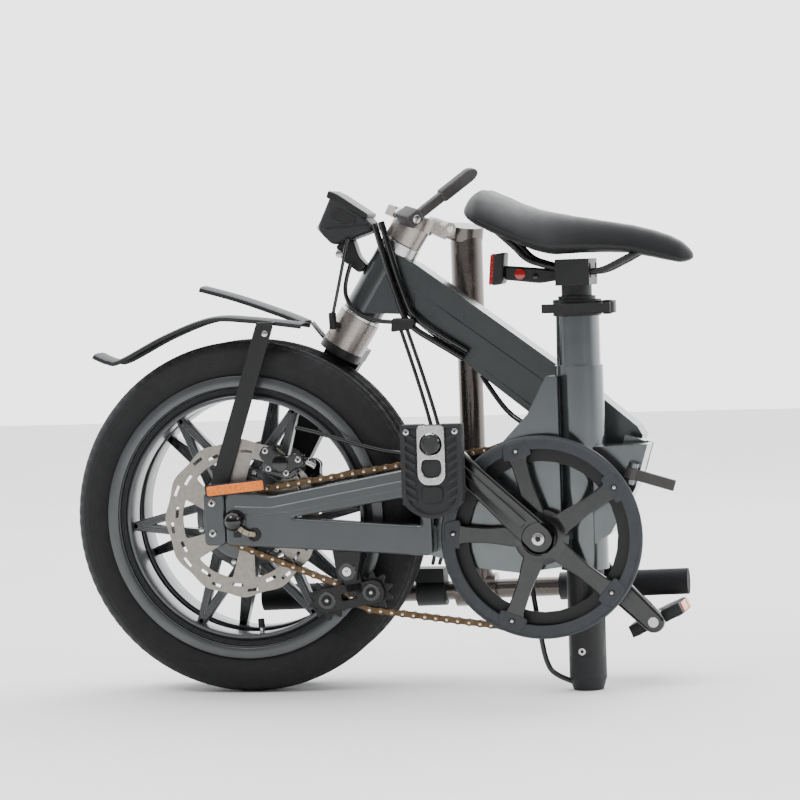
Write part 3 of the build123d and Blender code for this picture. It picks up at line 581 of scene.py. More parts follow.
def cog(name, at, body, pitch_r, teeth, bore, node, material, holes=0):
    """Toothed wheel with its bore, and round holes between bore and teeth."""
    x, y, z = at
    loops = [tooth_loop(x, z, pitch_r, teeth), circle(x, z, bore, 32)]
    for step in range(holes):
        a = 2 * pi * step / holes
        loops.append(circle(x + (pitch_r + bore) / 2 * 0.92 * cos(a),
                            z + (pitch_r + bore) / 2 * 0.92 * sin(a), pitch_r * 0.17, 20))
    half = 1.0 if pitch_r > 25 else 1.6
    meshes = [plate(loops, y - half, y + half, 0.3, material)]
    if pitch_r < 40:
        meshes.append(plate([circle(x, z, bore + 4, 32), circle(x, z, bore, 32)], y - 2.6, y + 2.6,
                            0.4, material))
    piece(name, body, meshes, [node])


cog("rear_cog", SPROCKET, "rear_sprocket", SPROCKET_R, 14, 7.2, "rear_sprocket", chain_metal,
    6)
cog("lower_jockey_wheel", LOW_PULLEY, "lower_pulley", PULLEY_R, 10, 3.2, "lower_pulley",
    satin_black, 5)
cog("upper_jockey_wheel", HIGH_PULLEY, "upper_pulley", PULLEY_R, 10, 3.2, "upper_pulley",
    satin_black, 5)
cog("front_chainring", (RING.x, CHAIN_Y, RING.z), "cranks", RING_R, 52, 84, "chainring",
    satin_black)


def guard():
    """Guard ring with recessed pockets, five tapered arms and their bolts."""
    x, y, z = BRACKET
    meshes = [plate([circle(x, z, 113, 160), circle(x, z, 98, 128)], y - 2.2, y + 2.2, 1.1, slate),
              lathe([(111, -2.9), (112.4, -2.3), (110, -1.6), (108.6, -2.3)], (x, y, z), slate,
                    160)]
    for step in range(5):
        a = radians(33 + 72 * step)
        way, side = Vector((cos(a), sin(a))), Vector((-sin(a), cos(a)))
        hub = Vector((x, z))
        arm = [hub + way * 18 + side * 13, hub + way * 60 + side * 8.5, hub + way * 88 + side * 9.5,
               hub + way * 101 + side * 15, hub + way * 101 - side * 15,
               hub + way * 88 - side * 9.5, hub + way * 60 - side * 8.5, hub + way * 18 - side * 13]
        meshes.append(slab(arm, 7, y - 2.8, y + 2.2, 1.3, gloss_black))
        pad = [hub + way * 91 + side * 17, hub + way * 109 + side * 13, hub + way * 109 - side * 13,
               hub + way * 91 - side * 17]
        meshes.append(slab(pad, 5, y - 3.2, y - 1, 0.9, slate))
        bolt = hub + way * 99
        meshes.append(pin(bolt.x, bolt.y, y - 4.4, y + 6, 3.6, satin_black, sides=20))
        meshes.append(pin(bolt.x, bolt.y, y - 4.9, y - 4, 1.9, steel, sides=12))
    meshes.append(lathe([(8.6, 2), (30, 2), (31, 0), (28, -2.6), (22, -3.6), (8.6, -3.6)],
                        (x, y, z), gloss_black, 72))
    piece("guard_and_spider", "cranks", meshes, ["chain_guard"])


guard()


def crank(side, node):
    """Tapered crank arm with a raised ridge, its boss and its bolt."""
    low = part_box(node)[0] / MM
    hub = Vector((BRACKET.x, BRACKET.z))
    a = radians(180 - CRANK_ANGLE if side < 0 else -CRANK_ANGLE)
    way = Vector((cos(a), sin(a)))
    normal = Vector((-way.y, way.x))
    eye = hub + way * CRANK_LENGTH

    def outline(r0, r1):
        loop = []
        for middle, r, turn in ((hub, r0, pi / 2), (eye, r1, -pi / 2)):
            for k in range(13):
                t = a + turn + pi * k / 12
                loop.append(polar(*middle, r, t))
        return loop

    def bend(v):
        along = max(min((Vector((v.x, v.z)) - hub).dot(way) / CRANK_LENGTH, 1), 0)
        return (v.x, v.y + side * 8 * along ** 1.3, v.z)

    base = (low.y + 8, low.y + 24) if side < 0 else (low.y + 0.5, low.y + 14.5)
    meshes = [warped(plate([outline(17.5, 12.5)], *base, 3.4, gloss_black), bend)]
    ridge = (base[0] - 1.2, base[0] + 2) if side < 0 else (base[1] - 2, base[1] + 1.2)
    inner = [hub + way * 22 + normal * 5.5, hub + way * 132 + normal * 3.2,
             hub + way * 132 - normal * 3.2, hub + way * 22 - normal * 5.5]
    meshes.append(warped(slab(inner, 4, *ridge, 1.1, gloss_black), bend))
    x, z = hub
    y = base[0] if side < 0 else base[1]
    # Both sides use the profile the same way round, so the right boss's steps face inwards.
    steps = [(18.5, 4), (18.5, -0.4), (16.5, -1.8), (14, -1.8), (13.4, -1), (11, -1), (10.4, -2.4),
             (0.1, -2.4)]
    meshes.append(lathe([(r, -w) for r, w in steps], (x, y, z), gloss_black, 64, closed=False))
    bolt = (y - 3.4, y - 1) if side < 0 else (y + 1, y + 3.4)
    meshes.append(pin(x, z, *bolt, 7.2, steel, sides=28))
    key = (bolt[0] - 0.2, bolt[0] + 0.4) if side < 0 else (bolt[1] - 0.4, bolt[1] + 0.2)
    meshes.append(pin(x, z, *key, 3.4, satin_black, sides=6))
    piece("crank_arm_right" if side < 0 else "crank_arm_left", "cranks", meshes,
          [node])
    return eye


RIGHT_EYE = crank(-1, "right_crank")
LEFT_EYE = crank(1, "left_crank")


def tread(half, top, low, front, material):
    """Slanted blocks down both sides of a pedal face."""
    meshes = []
    for k in range(9):
        z0 = top - 12 - k * (top - low - 26) / 8
        for side in (-1, 1):
            p, q = Vector((side * (half * 0.52), z0 - 5)), Vector((side * (half - 1), z0 + 4))
            meshes.append(plate([bar_loop(p, q, 2.1, 2.1)], front, front + 4, 0.6, material))
    return meshes


def pedal_meshes(width, thick, reach, top=24.5):
    """Pedal hanging below its pin at the origin: round-ended body, grooved sides, bright middle."""
    half, low, front = width / 2, top - reach, -thick / 2
    round_end = [(x * half,
                  low + 27 - 27 * sqrt(1 - x * x)) for x in [cos(pi * k / 20) for k in range(21)]]
    outline = [(-half, top), (-9, top), (-9, -9), (9, -9), (9, top), (half, top)] + round_end
    rim = [(half, top), (half, low + 27)] + round_end[1:-1] + [(-half, low + 27), (-half, top)]
    meshes = [slab(outline, 1.5, front + 3, -front, 1.2, moulded, steps=3),
              plate([rim, [(x * 0.84, z + (4 if z < -20 else -4)) for x, z in rim]], front,
                    front + 4, 0.9, moulded)]
    meshes += tread(half, top, low, front + 0.7, moulded)
    ring = rounded([(-15.5, top - 1), (15.5, top - 1), (15.5, -34), (9, -42), (-9, -42),
                    (-15.5, -34)], 5)
    gap = rounded([(-10.5, -14), (10.5, -14), (11.5, -26), (7, -34), (-7, -34), (-11.5, -26)], 5)
    crown = circle(0, 3, 12.2, 40)
    meshes.append(plate([ring, gap, crown], front - 0.4, front + 3, 1.0, steel))
    meshes.append(slab([(-13, -44), (13, -44), (10, -62), (-10, -62)], 6, front + 0.4, front + 4,
                       1.6, satin_black))
    for x in (-half + 7, half - 7):
        meshes.append(pin(x, top - 8, front - 0.8, front + 3, 3.4, steel, sides=24))
        meshes.append(pin(x, top - 8, front - 1.0, front - 0.6, 1.5, satin_black, sides=6))
    return meshes


def pedals():
    """Right pedal folded down and left pedal turned flat, with its amber reflectors."""
    meshes = pedal_meshes(68, 20, 103)
    meshes.append(lathe([(0.1, -2.4), (7.5, -2.4), (8, -1.8), (9.4, -1.8), (10.6, -0.8), (11, 4)],
                        (0, -10, 3), gloss_black, 56, closed=False))
    place = Matrix.Translation(Vector((RIGHT_EYE.x, -105, RIGHT_EYE.y)) * MM)
    placed(meshes, place)
    piece("pedal_right_body", "right_pedal", meshes, ["right_pedal"])
    meshes = pedal_meshes(64, 14, 90)
    for side in (-1, 1):
        edge = sorted((side * 30, side * 33))
        for z0, z1 in ((-26, 12), (-30, -44)):
            meshes.append(slab([(edge[0], z0), (edge[1], z0), (edge[1], z1), (edge[0], z1)], 0.6,
                               -5.5, 5.5, 0.5, amber, steps=2))
    place = (Matrix.Translation(Vector((LEFT_EYE.x, 91, LEFT_EYE.y)) * MM)
             @ Matrix.Rotation(radians(-25), 4, "Y") @ Matrix.Rotation(radians(90), 4, "X"))
    placed(meshes, place)
    piece("pedal_left_body", "left_pedal", meshes, ["left_pedal"])


pedals()


def tensioner():
    """Capsule-shaped cage plates with their bolts, the neck and the pivot's white bolt."""
    pivot = Vector((-259.4, 140.6))
    low, high = Vector((LOW_PULLEY.x, LOW_PULLEY.z)), Vector((HIGH_PULLEY.x, HIGH_PULLEY.z))
    along = (high - low).normalized()
    capsule = rounded(bar_loop(low - along * 14, high + along * 14, 13.5, 13.5), 13, 8)
    slot = rounded(bar_loop(low + along * 17, high - along * 17, 4, 4), 3.5, 4)
    neck = rounded(bar_loop(pivot + Vector((-1, 12)), (low + high) / 2 + Vector((8, 0)), 10, 10), 8,
                   5)
    meshes = [plate([capsule, slot], -49.5, -47, 0.9, satin_black),
              plate([neck], -49.5, -47.1, 0.8, satin_black),
              slab(bar_loop(low - along * 11, high + along * 11, 10, 10), 9, -33.5, -31, 0.8,
                   satin_black, steps=6)]
    for spot in (low, high):
        meshes.append(lathe([(6, -50.2), (9.5, -50.2), (10.2, -49.4), (6, -49.4)],
                            (spot.x, 0, spot.y), gloss_black, 40))
        meshes.append(pin(spot.x, spot.y, -50.9, -31, 4.6, satin_black, sides=28))
        meshes.append(pin(spot.x, spot.y, -51.1, -50.5, 2.0, steel, sides=6))
    piece("tensioner_plates", "tensioner", meshes, ["tensioner_cage"])
    x, z = pivot
    washer = [lathe([(4.2, -60.6), (9.5, -60.6), (10.4, -59.8), (10.4, -57), (4.2, -57)], (x, 0, z),
                    gloss_black, 40),
              pin(x, z, -62.4, -58, 5.0, white_metal, sides=28),
              pin(x, z, -62.7, -62.2, 2.3, steel, sides=6)]
    piece("tensioner_pivot_bolt", "rear_half", washer)


tensioner()


# ---------------------------------------------------------------- frame plates
def swingarm():
    """Single-sided arm with its window, bridge ends, dropout block and screws."""
    arm = [(-397, 172), (-397, 232), (-372, 232), (-345, 226.6), (-195, 253.3), (-161, 259),
           (-161, 157), (-327.6, 167.8)]
    window = [(-320, 202), (-193, 222), (-172, 222), (-172, 191)]
    block = [(-422, 172), (-422, 232), (-397.6, 232), (-397.6, 172)]
    meshes = [plate([rounded(arm, 7, 5), rounded(window, 5, 4)], -62, -47, 2.6, gunmetal),
              slab(block, 6, -61.5, -47.5, 2.4, gunmetal, steps=5)]
    inset = [(-388, 216), (-345, 214), (-200, 240), (-178, 243), (-178, 236), (-200, 231),
             (-322, 209), (-388, 206)]
    meshes.append(slab(inset, 3, -62.9, -60, 0.8, gunmetal, steps=3))
    for z0, z1 in ((222, 249), (159, 191)):
        bridge = [(-178, z0), (-161, z0), (-161, z1), (-178, z1)]
        meshes.append(slab(bridge, 4, -60, -33, 1.8, gunmetal))
    for z in (186, 220):
        meshes.append(pin(-412, z, -64, -60, 4.2, steel, sides=24))
        meshes.append(pin(-412, z, -64.3, -63.8, 2.1, satin_black, sides=6))
    piece("arm_and_dropout", "rear_half", meshes, ["swingarm"])


swingarm()


def axle_cap():
    """Ball end on the axle, the lead that leaves it, its grommet and a square port."""
    x, z = REAR.x, REAR.z
    dome = [(11.5 * cos(radians(a)), -68 - 11.5 * sin(radians(a))) for a in range(-40, 91, 10)]
    meshes = [lathe([(12.5, -62), (12.5, -63.5), (9, -64)] + [(max(r, 0.05), y) for r, y in dome],
                    (x, 0, z), gloss_black, 64, closed=False),
              lathe([(4.8, -62.2), (7.4, -62.2), (7.8, -63), (7.2, -63.8), (5.2, -63.8)],
                    (x + 22, 0, z - 16), satin_black, 40),
              pin(x + 22, z - 16, -62.9, -61.5, 5.2, satin_black, sides=32),
              slab([(x - 2, z - 19), (x + 7, z - 19), (x + 7, z - 11), (x - 2, z - 11)], 1, -63.1,
                   -61.5, 0.4, satin_black, steps=2)]
    lead = [(x + 6, -69, z - 7), (x + 11, -70.5, z - 11.5), (x + 17, -69, z - 14.5),
            (x + 22, -63, z - 16)]
    for p, q in zip(lead, lead[1:]):
        meshes.append(rod(p, q, 2.9, beige, soft=0.2, sides=24))
    piece("axle_ball_cap", "rear_half", meshes, ["rear_axle_cap"])


axle_cap()


def reflector():
    """Amber strip with fine ribs in a dark holder on the swingarm."""
    low, high = (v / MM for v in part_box("side_reflector"))
    x, z = (low.x + high.x) / 2, (low.z + high.z) / 2
    tilt = radians(5.5)
    along, up = Vector((cos(tilt), sin(tilt))), Vector((-sin(tilt), cos(tilt)))
    middle = Vector((x, z))

    def loop(half, tall):
        return [tuple(middle + along * a * half + up * b * tall) for a,
                b in ((-1, -1), (-1, 1), (1, 1), (1, -1))]

    meshes = [slab(loop(35, 7), 3, low.y + 0.8, high.y, 0.5, moulded),
              slab(loop(33, 5.4), 2.4, low.y, low.y + 1.4, 0.5, amber)]
    for k in range(13):
        p = middle + along * (-31 + k * 5.2)
        meshes.append(plate([bar_loop(p - up * 4.6, p + up * 4.6, 0.5, 0.5)], low.y - 0.25,
                            low.y + 0.6, 0.15, amber))
    piece("amber_side_reflector", "rear_half", meshes, ["side_reflector"])


reflector()


def fender(name, body, points, y0, y1, nodes, extra=()):
    """Pressed mudguard strip with rolled sides, following the points."""
    verts, dense = [], []
    for i in range(len(points) - 1):
        a, b = Vector(points[i]), Vector(points[i + 1])
        before = Vector(points[max(i - 1, 0)])
        after = Vector(points[min(i + 2, len(points) - 1)])
        for k in range(8):
            t = k / 8
            dense.append(0.5 * ((2 * a) + (b - before) * t + (2 * before - 5 * a + 4 * b - after)
                                * t ** 2 + (3 * a - before - 3 * b + after) * t ** 3))
    dense.append(Vector(points[-1]))
    section = [(-1, -4.0), (-0.97, -1.0), (-0.8, 0.4), (-0.3, 1.2), (0.3, 1.2), (0.8, 0.4),
               (0.97, -1.0), (1, -4.0)]
    section += [(s * 0.94, h - 1.4) for s, h in section[::-1]]
    middle, half = (y0 + y1) / 2, (y1 - y0) / 2
    for i, p in enumerate(dense):
        way = (dense[min(i + 1, len(dense) - 1)] - dense[max(i - 1, 0)]).normalized()
        up = Vector((-way.y, way.x))
        for s, h in section:
            spot = p + up * (h - 1.5)
            verts.append((spot.x, middle + s * half, spot.y))
    piece(name, body, [mesh_of(verts, skin(len(dense), len(section)), moulded, 40), *extra],
          nodes)


stay_bar = [(-360.4, 421), (-420, 240), (-418, 222), (-406, 222), (-400.5, 237), (-340.8, 418)]
stay = [slab(stay_bar, 4, -35, -32.5, 0.7, satin_black),
        pin(-412, 227, -47, -31.5, 4.6, steel, sides=20),
        pin(-351, 408, -36.2, -31, 3.6, steel, sides=20),
        slab([(-361, 417.6), (-341, 417.6), (-341, 421), (-361, 421)], 0.8, -34.5, -20, 0.5,
             satin_black, steps=2)]
fender("rear_fender", "rear_half",
       [(-555, 391), (-539, 384), (-525, 385), (-472, 411), (-419, 428.7), (-371, 427),
        (-311, 419)], -24, 24, ["rear_mudguard"], stay)
fender("front_fender", "steering", [(-448, 463), (-404, 450), (-352, 431), (-326, 420)],
       FRONT.y - 23, FRONT.y + 23, ["front_mudguard"],
       [rod((-324, FRONT.y + 11, 417), (-308, FRONT.y + 11, 397), 3.4, steel, sides=20)])


# ---------------------------------------------------------------- saddle
SADDLE_SIDE = [(-116, 547, 535), (-108, 558, 524), (-98, 563, 518), (-80, 555, 509),
               (-59, 545, 499), (-37, 537.5, 489), (-21, 534, 485), (7, 528.5, 486),
               (35, 523.5, 486), (62, 518.5, 484.6), (85, 512, 479.5), (104, 505, 475),
               (118, 498, 472), (127, 490, 474), (131.5, 483, 478)]
SADDLE_WIDTH = [(-117, 48), (-110, 74), (-98, 85), (-80, 87), (-60, 82), (-35, 69), (-10, 51),
                (10, 41), (35, 33.5), (60, 29), (95, 23.5), (118, 19.5), (127, 14.5), (132, 7)]


def between(table, x, column=1):
    """A column's value at x, eased a little from row to row."""
    for a, b in zip(table, table[1:]):
        if x <= b[0]:
            t = max((x - a[0]) / (b[0] - a[0]), 0)
            t = t * t * (3 - 2 * t) * 0.35 + t * 0.65
            return a[column] + (b[column] - a[column]) * t
    return table[-1][column]


def saddle():
    """Crowned saddle with a shallow channel, a raised tail and a lower skirt."""
    verts = []
    for i in range(SADDLE_ROWS + 1):
        t = i / SADDLE_ROWS
        x = SADDLE_TAIL + SADDLE_LENGTH * (0.5 - 0.5
                                           * cos(pi * t)) * 0.55 + SADDLE_LENGTH * t * 0.45
        top, low = between(SADDLE_SIDE, x), between(SADDLE_SIDE, x, 2)
        half = between(SADDLE_WIDTH, x)
        tall = top - low
        for k in range(SADDLE_AROUND):
            a = 2 * pi * k / SADDLE_AROUND
            c, s = cos(a), sin(a)
            wide = abs(c) ** 0.62 * (1 if c >= 0 else -1)
            crown = abs(s) ** 0.8
            y = half * wide * (1 - 0.10 * max(-s, 0))
            if s >= 0:
                drop = 0.52 * tall * (abs(wide) ** 2.6)
                z = top - drop - 0.22 * tall * (1 - crown) * abs(wide)
                z -= 2.2 * exp(-(y / 8) ** 2) * max(0, min(1, (100 - x) / 60))
            else:
                z = low + (0.26 * tall) * (1 - crown) + 2.0 * (1 - abs(wide))
            verts.append((x, y, z))
    pad = mesh_of(verts, skin(SADDLE_ROWS + 1, SADDLE_AROUND), vinyl, 60)
    made = piece("saddle_pad", "seat", [pad], ["saddle"])
    soft = made.modifiers.new("smooth", "SUBSURF")
    soft.levels = soft.render_levels = 1


saddle()


def rear_lamp():
    """Upright lens block on an arm that carries a round red button."""
    block = rounded([(-93, 454), (-81, 456), (-78, 491), (-90, 489)], 3)
    lens = rounded([(-97, 455), (-91.5, 455), (-88.5, 490), (-94, 489)], 2)
    arm = rounded([(-80, 460), (-80, 476), (-40, 472), (-19, 469), (-19, 458), (-40, 455)], 4)
    meshes = [plate([block], -16, 16, 2.5, satin_black), plate([lens], -14.5, 14.5, 1.6, red_lens),
              plate([arm], -7, 7, 2, satin_black), pin(-62, 466, -9, -6, 6.2, red_lens, sides=36),
              pin(-45, 463, -8, -6, 3.2, gloss_black, sides=24)]
    for k in range(6):
        p = Vector((-95.6 + 0.55 * k, 459 + 5.4 * k))
        meshes.append(plate([bar_loop(p, p + Vector((3, 0)), 0.7, 0.7)], -14.8, 14.8, 0.3,
                            red_lens))
    piece("rear_lamp", "seat", meshes, ["rear_light"])


rear_lamp()


def head_lamp():
    """Wedge-shaped lamp with a visor over its lens and its arm."""
    y = FRONT.y
    side = [(-289, 565), (-308, 524), (-289, 504), (-238, 521), (-250, 537)]
    meshes = [slab(side, 8, y - 23.5, y + 23.5, 5, moulded, steps=5),
              slab([(-292, 568), (-295, 560), (-287, 556), (-249, 534), (-246, 539), (-281, 563)],
                   2.5, y - 24.5, y + 24.5, 1.6, satin_black),
              slab([(-293, 552), (-309.5, 525), (-303, 519), (-288, 549)], 3, y - 18, y + 18, 2,
                   lamp_glass),
              slab([(-284, 549), (-259, 535), (-266, 526), (-291, 538)], 3, y - 25.2, y - 22, 1,
                   satin_black),
              slab([(-296, 528), (-245, 531), (-247, 527), (-297, 524)], 1.5, y - 24.6, y + 24.6,
                   0.8, satin_black),
              slab([(-289, 504.5), (-282, 488), (-262, 472), (-252, 480), (-262, 492), (-268, 512)],
                   4, y - 11, y + 11, 2, satin_black),
              pin(-284, 495, y - 14, y + 14, 4.4, steel, sides=24)]
    piece("head_lamp", "front_half", meshes, ["headlight"])


head_lamp()


def caliper(name, body, node, turn):
    """Two-piece brake caliper: winged housing, piston cap, bracket, bolts and hose union."""
    low, high = (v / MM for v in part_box(node))
    middle = (low + high) / 2
    wings = [(-27, -3), (-25, 9), (-15, 13), (-6, 5), (6, 4), (14, 12), (25, 9), (27, -3), (17, -7),
             (11, -16), (-10, -16), (-17, -8)]
    foot = [(-23, -9), (-17, -21), (13, -21), (22, -11), (15, -5), (-15, -5)]
    front, back = (-7.5, 7.5)
    meshes = [slab(wings, 5, front, -2.4, 1.6, gloss_black),
              slab(wings, 5, 2.4, back, 1.6, gloss_black),
              slab([(x * 0.8, z * 0.8) for x, z in wings], 4, -2.6, 2.6, 0.5, satin_black),
              slab(foot, 4, -3.4, 4.4, 1.2, gunmetal),
              pin(0, -5, front - 1.6, back + 1.6, 9.2, gloss_black, sides=40),
              rod((26, 0, 3), (38, 0, 0), 3.6, steel, sides=24),
              rod((21, 0, 5), (28, 0, 3), 5.2, gloss_black, sides=24)]
    for x, z in ((-20, 5), (19, 4), (-12, -14), (9, -14)):
        meshes.append(pin(x, z, front - 1.5, back + 1.5, 3.6, steel, sides=24))
        for y in (front - 1.7, back + 1.1):
            meshes.append(pin(x, z, y, y + 0.6, 1.8, satin_black, sides=6))
    place = Matrix.Translation(middle * MM) @ Matrix.Rotation(radians(turn), 4, "Y")
    placed(meshes, place)
    piece(name, body, meshes, [node])


caliper("rear_brake_caliper", "rear_half", "rear_caliper", 14)
caliper("front_brake_caliper", "steering", "front_caliper", 60)

# The hinge between stem and folding post: a point and its three directions.
HINGE_AT = Vector((-172, 100, 522.8))
HINGE_X = Vector((-0.5994, -0.7071, 0.3750))
HINGE_Y = Vector((-0.4006, -0.1406, -0.9054))
HINGE_Z = Vector((0.693, -0.693, -0.199))


def stem_place(x, y, z):
    return HINGE_AT + HINGE_X * x + HINGE_Y * y + HINGE_Z * z


def stem_lever():
    """Clamp lever: steel pivot, square hub, flat neck and a thicker padded handle."""
    way = Vector((0.662, 0.502, 0.555)).normalized()
    third = way.cross(HINGE_Z).normalized()
    start = stem_place(66, 8, 39)
    place = Matrix.Translation(start * MM) @ Matrix((way, HINGE_Z, third)).transposed().to_4x4()
    handle = [(42, -7.2), (88, -7.2), (95.5, -3), (95.5, 4), (88, 7.2), (42, 7.2)]
    meshes = [slab([(-9, -8), (9, -8), (9, 8), (-9, 8)], 2.5, -22, 5, 1.4, dark_lever),
              slab([(0, -5.4), (50, -5.4), (50, 5.4), (0, 5.4)], 2, -3.6, 4.4, 1.2, dark_lever),
              slab(handle, 4, -5.4, 5.4, 1.8, dark_lever)]
    placed(meshes, place)
    meshes.append(rod(stem_place(66, 8, 8.5), stem_place(66, 8, 17), 7.6, steel, sides=32))
    meshes.append(rod(stem_place(66, 8, 44), stem_place(66, 8, 46), 5, steel, sides=28))
    piece("stem_clamp_lever", "stem_latch", meshes, ["stem_latch"])


stem_lever()

def fittings():
    """Beam panels, the saddle rails' ends, two cable clips and the foot's screw."""
    beam_panel = [(-197, 430), (-195, 452), (-100, 382), (10, 301), (-41, 297), (-117, 358)]
    piece("beam_side_panel", "front_half", [slab(beam_panel, 5, 51.9, 54, 0.9, gunmetal)])
    piece("beam_far_panel", "front_half", [slab(beam_panel, 5, 96, 98.1, 0.9, gunmetal)])
    rail_ends = []
    for side in (-1, 1):
        rail_ends.append(rod((-63.5, side * 22, 495.2), (-85, side * 23, 515), 3.5, satin_black,
                             soft=0.3, sides=24))
        rail_ends.append(rod((57.5, side * 22, 479.4), (77, side * 17, 489), 3.5, satin_black,
                             soft=0.3, sides=24))
    piece("saddle_rail_ends", "seat", rail_ends)
    piece("cable_clip", "front_half",
          [slab([(-221, 404), (-195, 407), (-193, 419), (-219, 420)], 3, 34, 53, 2, satin_black)])
    piece("lead_clip", "steering",
          [rod((-292, 51, 428), (-291, 49, 409), 4.4, satin_black, sides=28),
           rod((-291, 49, 416), (-283, 56, 412), 3.2, satin_black, sides=24)])
    piece("foot_screw", "seat", [pin(-3, 44, -21.2, -17, 4.2, white_metal, sides=28),
                                 pin(-3, 44, -21.4, -21, 1.9, satin_black, sides=6)])


fittings()


# ---------------------------------------------------------------- cables
def cord(name, body, points, radius, nodes=()):
    """Cable along its points, with its thickness."""
    curve = bpy.data.curves.new(name, "CURVE")
    curve.dimensions, curve.bevel_depth, curve.bevel_resolution = "3D", radius * MM, 5
    curve.resolution_u = 16
    spline = curve.splines.new("NURBS")
    spline.points.add(len(points) - 1)
    for point, place in zip(spline.points, points):
        point.co = (*(Vector(place) * MM), 1)
    spline.order_u = 3
    spline.use_endpoint_u = True
    curve.materials.append(cable_skin)
    made = bpy.data.objects.new(name, curve)
    bpy.context.scene.collection.objects.link(made)
    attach(made, body)
    if nodes:
        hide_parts(*nodes)


cord("main_bundle_a", "front_half",
     [(-238, 46, 528), (-224, 45, 476), (-213, 44, 441), (-204, 44, 412), (-165, 45, 388),
      (-140, 46, 372)], 3.6, ["front_cables"])
cord("main_bundle_b", "front_half",
     [(-230, 46, 530), (-216, 45, 478), (-205, 44, 444), (-196, 44, 420), (-160, 45, 396),
      (-134, 46, 380)], 3.6)
cord("front_brake_loop", "front_half",
     [(-268, 49, 483), (-276, 48, 461), (-274, 48, 441), (-260, 48, 424), (-238, 48, 416),
      (-215, 48, 415)], 2.5)
cord("lamp_lead", "front_half", [(-271, 49, 512), (-280, 49, 470), (-292, 52, 424)], 2.0)
cord("control_lead_a", "front_half",
     [(-211, 38, 411), (-175, 38, 298), (-172, 52, 230), (-182, 84, 170), (-196, 110, 132)], 2.2)
cord("control_lead_b", "front_half",
     [(-203, 38, 409), (-166, 38, 296), (-163, 52, 228), (-172, 84, 168), (-188, 110, 132)], 2.2)
cord("rear_brake_hose", "rear_half",
     [(-318, -40, 302), (-290, -37, 295), (-250, -32, 281), (-200, -27, 268), (-160, -24, 266)],
     2.5, ["rear_hoses"])
cord("rear_loom", "rear_half", [(-123, 67, 351), (-104, 62, 322), (-86, 56, 303), (-62, 44, 291),
                                (-40, 26, 286)], 3.0)
cord("battery_cable", "rear_half", [(-62, -8, 133), (-56, -9, 92), (-50, -10, 56), (-46, -10, 34),
                                    (-38, -9, 17), (-17, -5, 9)], 3.0, ["battery_lead"])


# ---------------------------------------------------------------- carried-over nodes
FINISHES = (
    (lit_frame_paint, ["rear_frame"]),
    (steel, ["frame_hinge_pin", "rear_axle", "crank_spindle", "right_pedal_axle",
             "left_pedal_axle", "headset_cups", "handlepost_pin", "front_axle"]),
    (satin_black, ["seat_clamp_collar", "seat_clamp_lever", "tensioner_bracket", "seatpost",
                   "battery_pack", "saddle_rails", "fork", "right_brake_lever",
                   "left_brake_lever"]),
    (moulded, ["foot_cap", "bar_controls"]),
    (gunmetal, ["front_frame"]),
    (brushed, ["crown_sleeve", "stem_head"]),
    (titanium, ["handlepost", "inner_post", "handlebar"]),
    (grip_rubber, ["grips"]),
    (dark_lever, ["frame_latch_lever"]),
)
for finish, names in FINISHES:
    for name in names:
        coated(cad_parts[name].data, finish)


# ---------------------------------------------------------------- floor, light and camera
LIGHTS_AIM = Vector((-0.2, 0, 0.28))
CAMERA_AT, CAMERA_LENS = Vector((0.5933, -3.7564, 0.5027)), 153.4


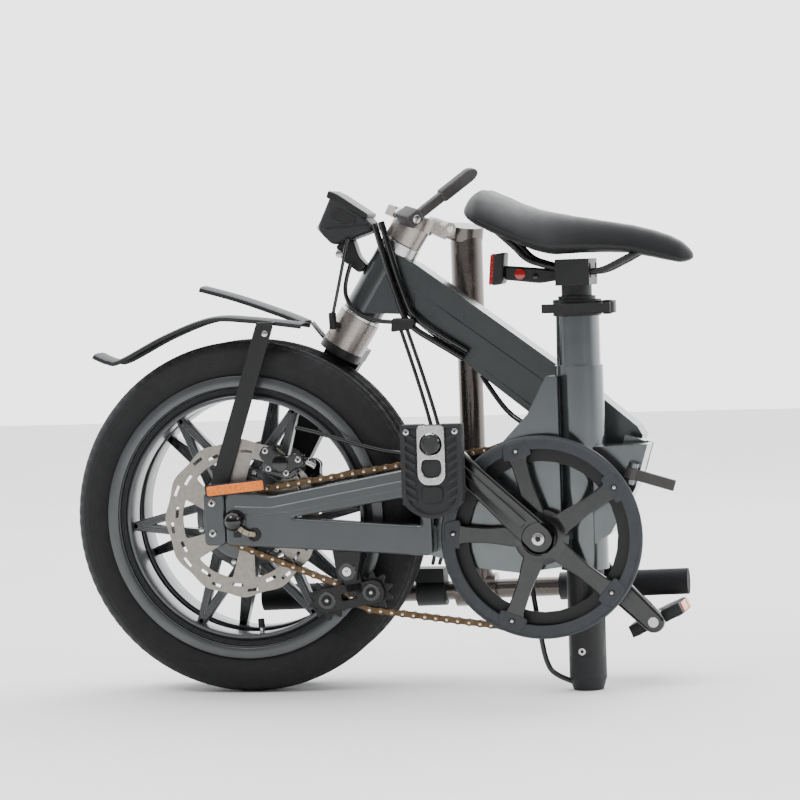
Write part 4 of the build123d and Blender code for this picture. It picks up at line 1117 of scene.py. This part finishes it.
def stage():
    """Floor, a backdrop brighter in front and above, and three area lights."""
    bpy.ops.mesh.primitive_plane_add(size=12, location=(0, 0, -0.0005))
    floor = bpy.context.object
    floor.name = "floor"
    floor.data.materials.append(finish_of("floor_paint", (240, 240, 239), 0.85, grain=3, shift=0.02,
                                          bump=0.02))
    world = bpy.data.worlds.new("studio")
    bpy.context.scene.world = world
    world.use_nodes = True
    backdrop = world.node_tree.nodes["Background"]
    nodes, link = world.node_tree.nodes, world.node_tree.links.new
    direction = nodes.new("ShaderNodeTexCoord")
    parts = nodes.new("ShaderNodeSeparateXYZ")
    link(direction.outputs["Generated"], parts.inputs["Vector"])
    front = add_node(nodes, "ShaderNodeMapRange",
                     {"From Min": -0.45, "From Max": 0.5, "To Min": 0.24, "To Max": 3.2})
    front.interpolation_type = "SMOOTHSTEP"
    link(parts.outputs["Y"], front.inputs["Value"])
    above = add_node(nodes, "ShaderNodeMapRange",
                     {"From Min": 0.25, "From Max": 0.8, "To Max": 0.9})
    above.interpolation_type = "SMOOTHSTEP"
    link(parts.outputs["Z"], above.inputs["Value"])
    total = nodes.new("ShaderNodeMath")
    total.operation = "ADD"
    link(front.outputs["Result"], total.inputs[0])
    link(above.outputs["Result"], total.inputs[1])
    link(total.outputs["Value"], backdrop.inputs["Strength"])
    backdrop.inputs["Color"].default_value = (0.97, 0.98, 1.0, 1)
    lights = [("key", (-1.4, -1.9, 2.6), 0.9, 34), ("fill", (2.4, -1.2, 1.6), 0.6, 14),
              ("back", (0.4, 2.4, 2.2), 1.8, 30)]
    for name, spot, size, power in lights:
        lamp = bpy.data.lights.new(name, "AREA")
        lamp.size, lamp.energy = size, power
        made = bpy.data.objects.new(name, lamp)
        made.location = spot
        made.rotation_euler = (LIGHTS_AIM - Vector(spot)).to_track_quat("-Z", "Y").to_euler()
        bpy.context.scene.collection.objects.link(made)


def camera():
    """Long lens at the height of the bicycle, a little right of its side and slightly rolled."""
    turn, height, roll = radians(12), radians(2.6), radians(1.9)
    right = Vector((cos(turn), sin(turn), 0))
    back = Vector((sin(turn) * cos(height), -cos(turn) * cos(height), sin(height)))
    up = back.cross(right)
    side = right * cos(roll) - up * sin(roll)
    top = right * sin(roll) + up * cos(roll)
    lens = bpy.data.cameras.new("camera")
    lens.lens, lens.sensor_width = CAMERA_LENS, 36.0
    lens.clip_start, lens.clip_end = 0.1, 50
    made = bpy.data.objects.new("camera", lens)
    made.matrix_world = Matrix((side, top, back)).transposed().to_4x4()
    made.matrix_world.translation = CAMERA_AT
    bpy.context.scene.collection.objects.link(made)
    bpy.context.scene.camera = made


stage()
camera()
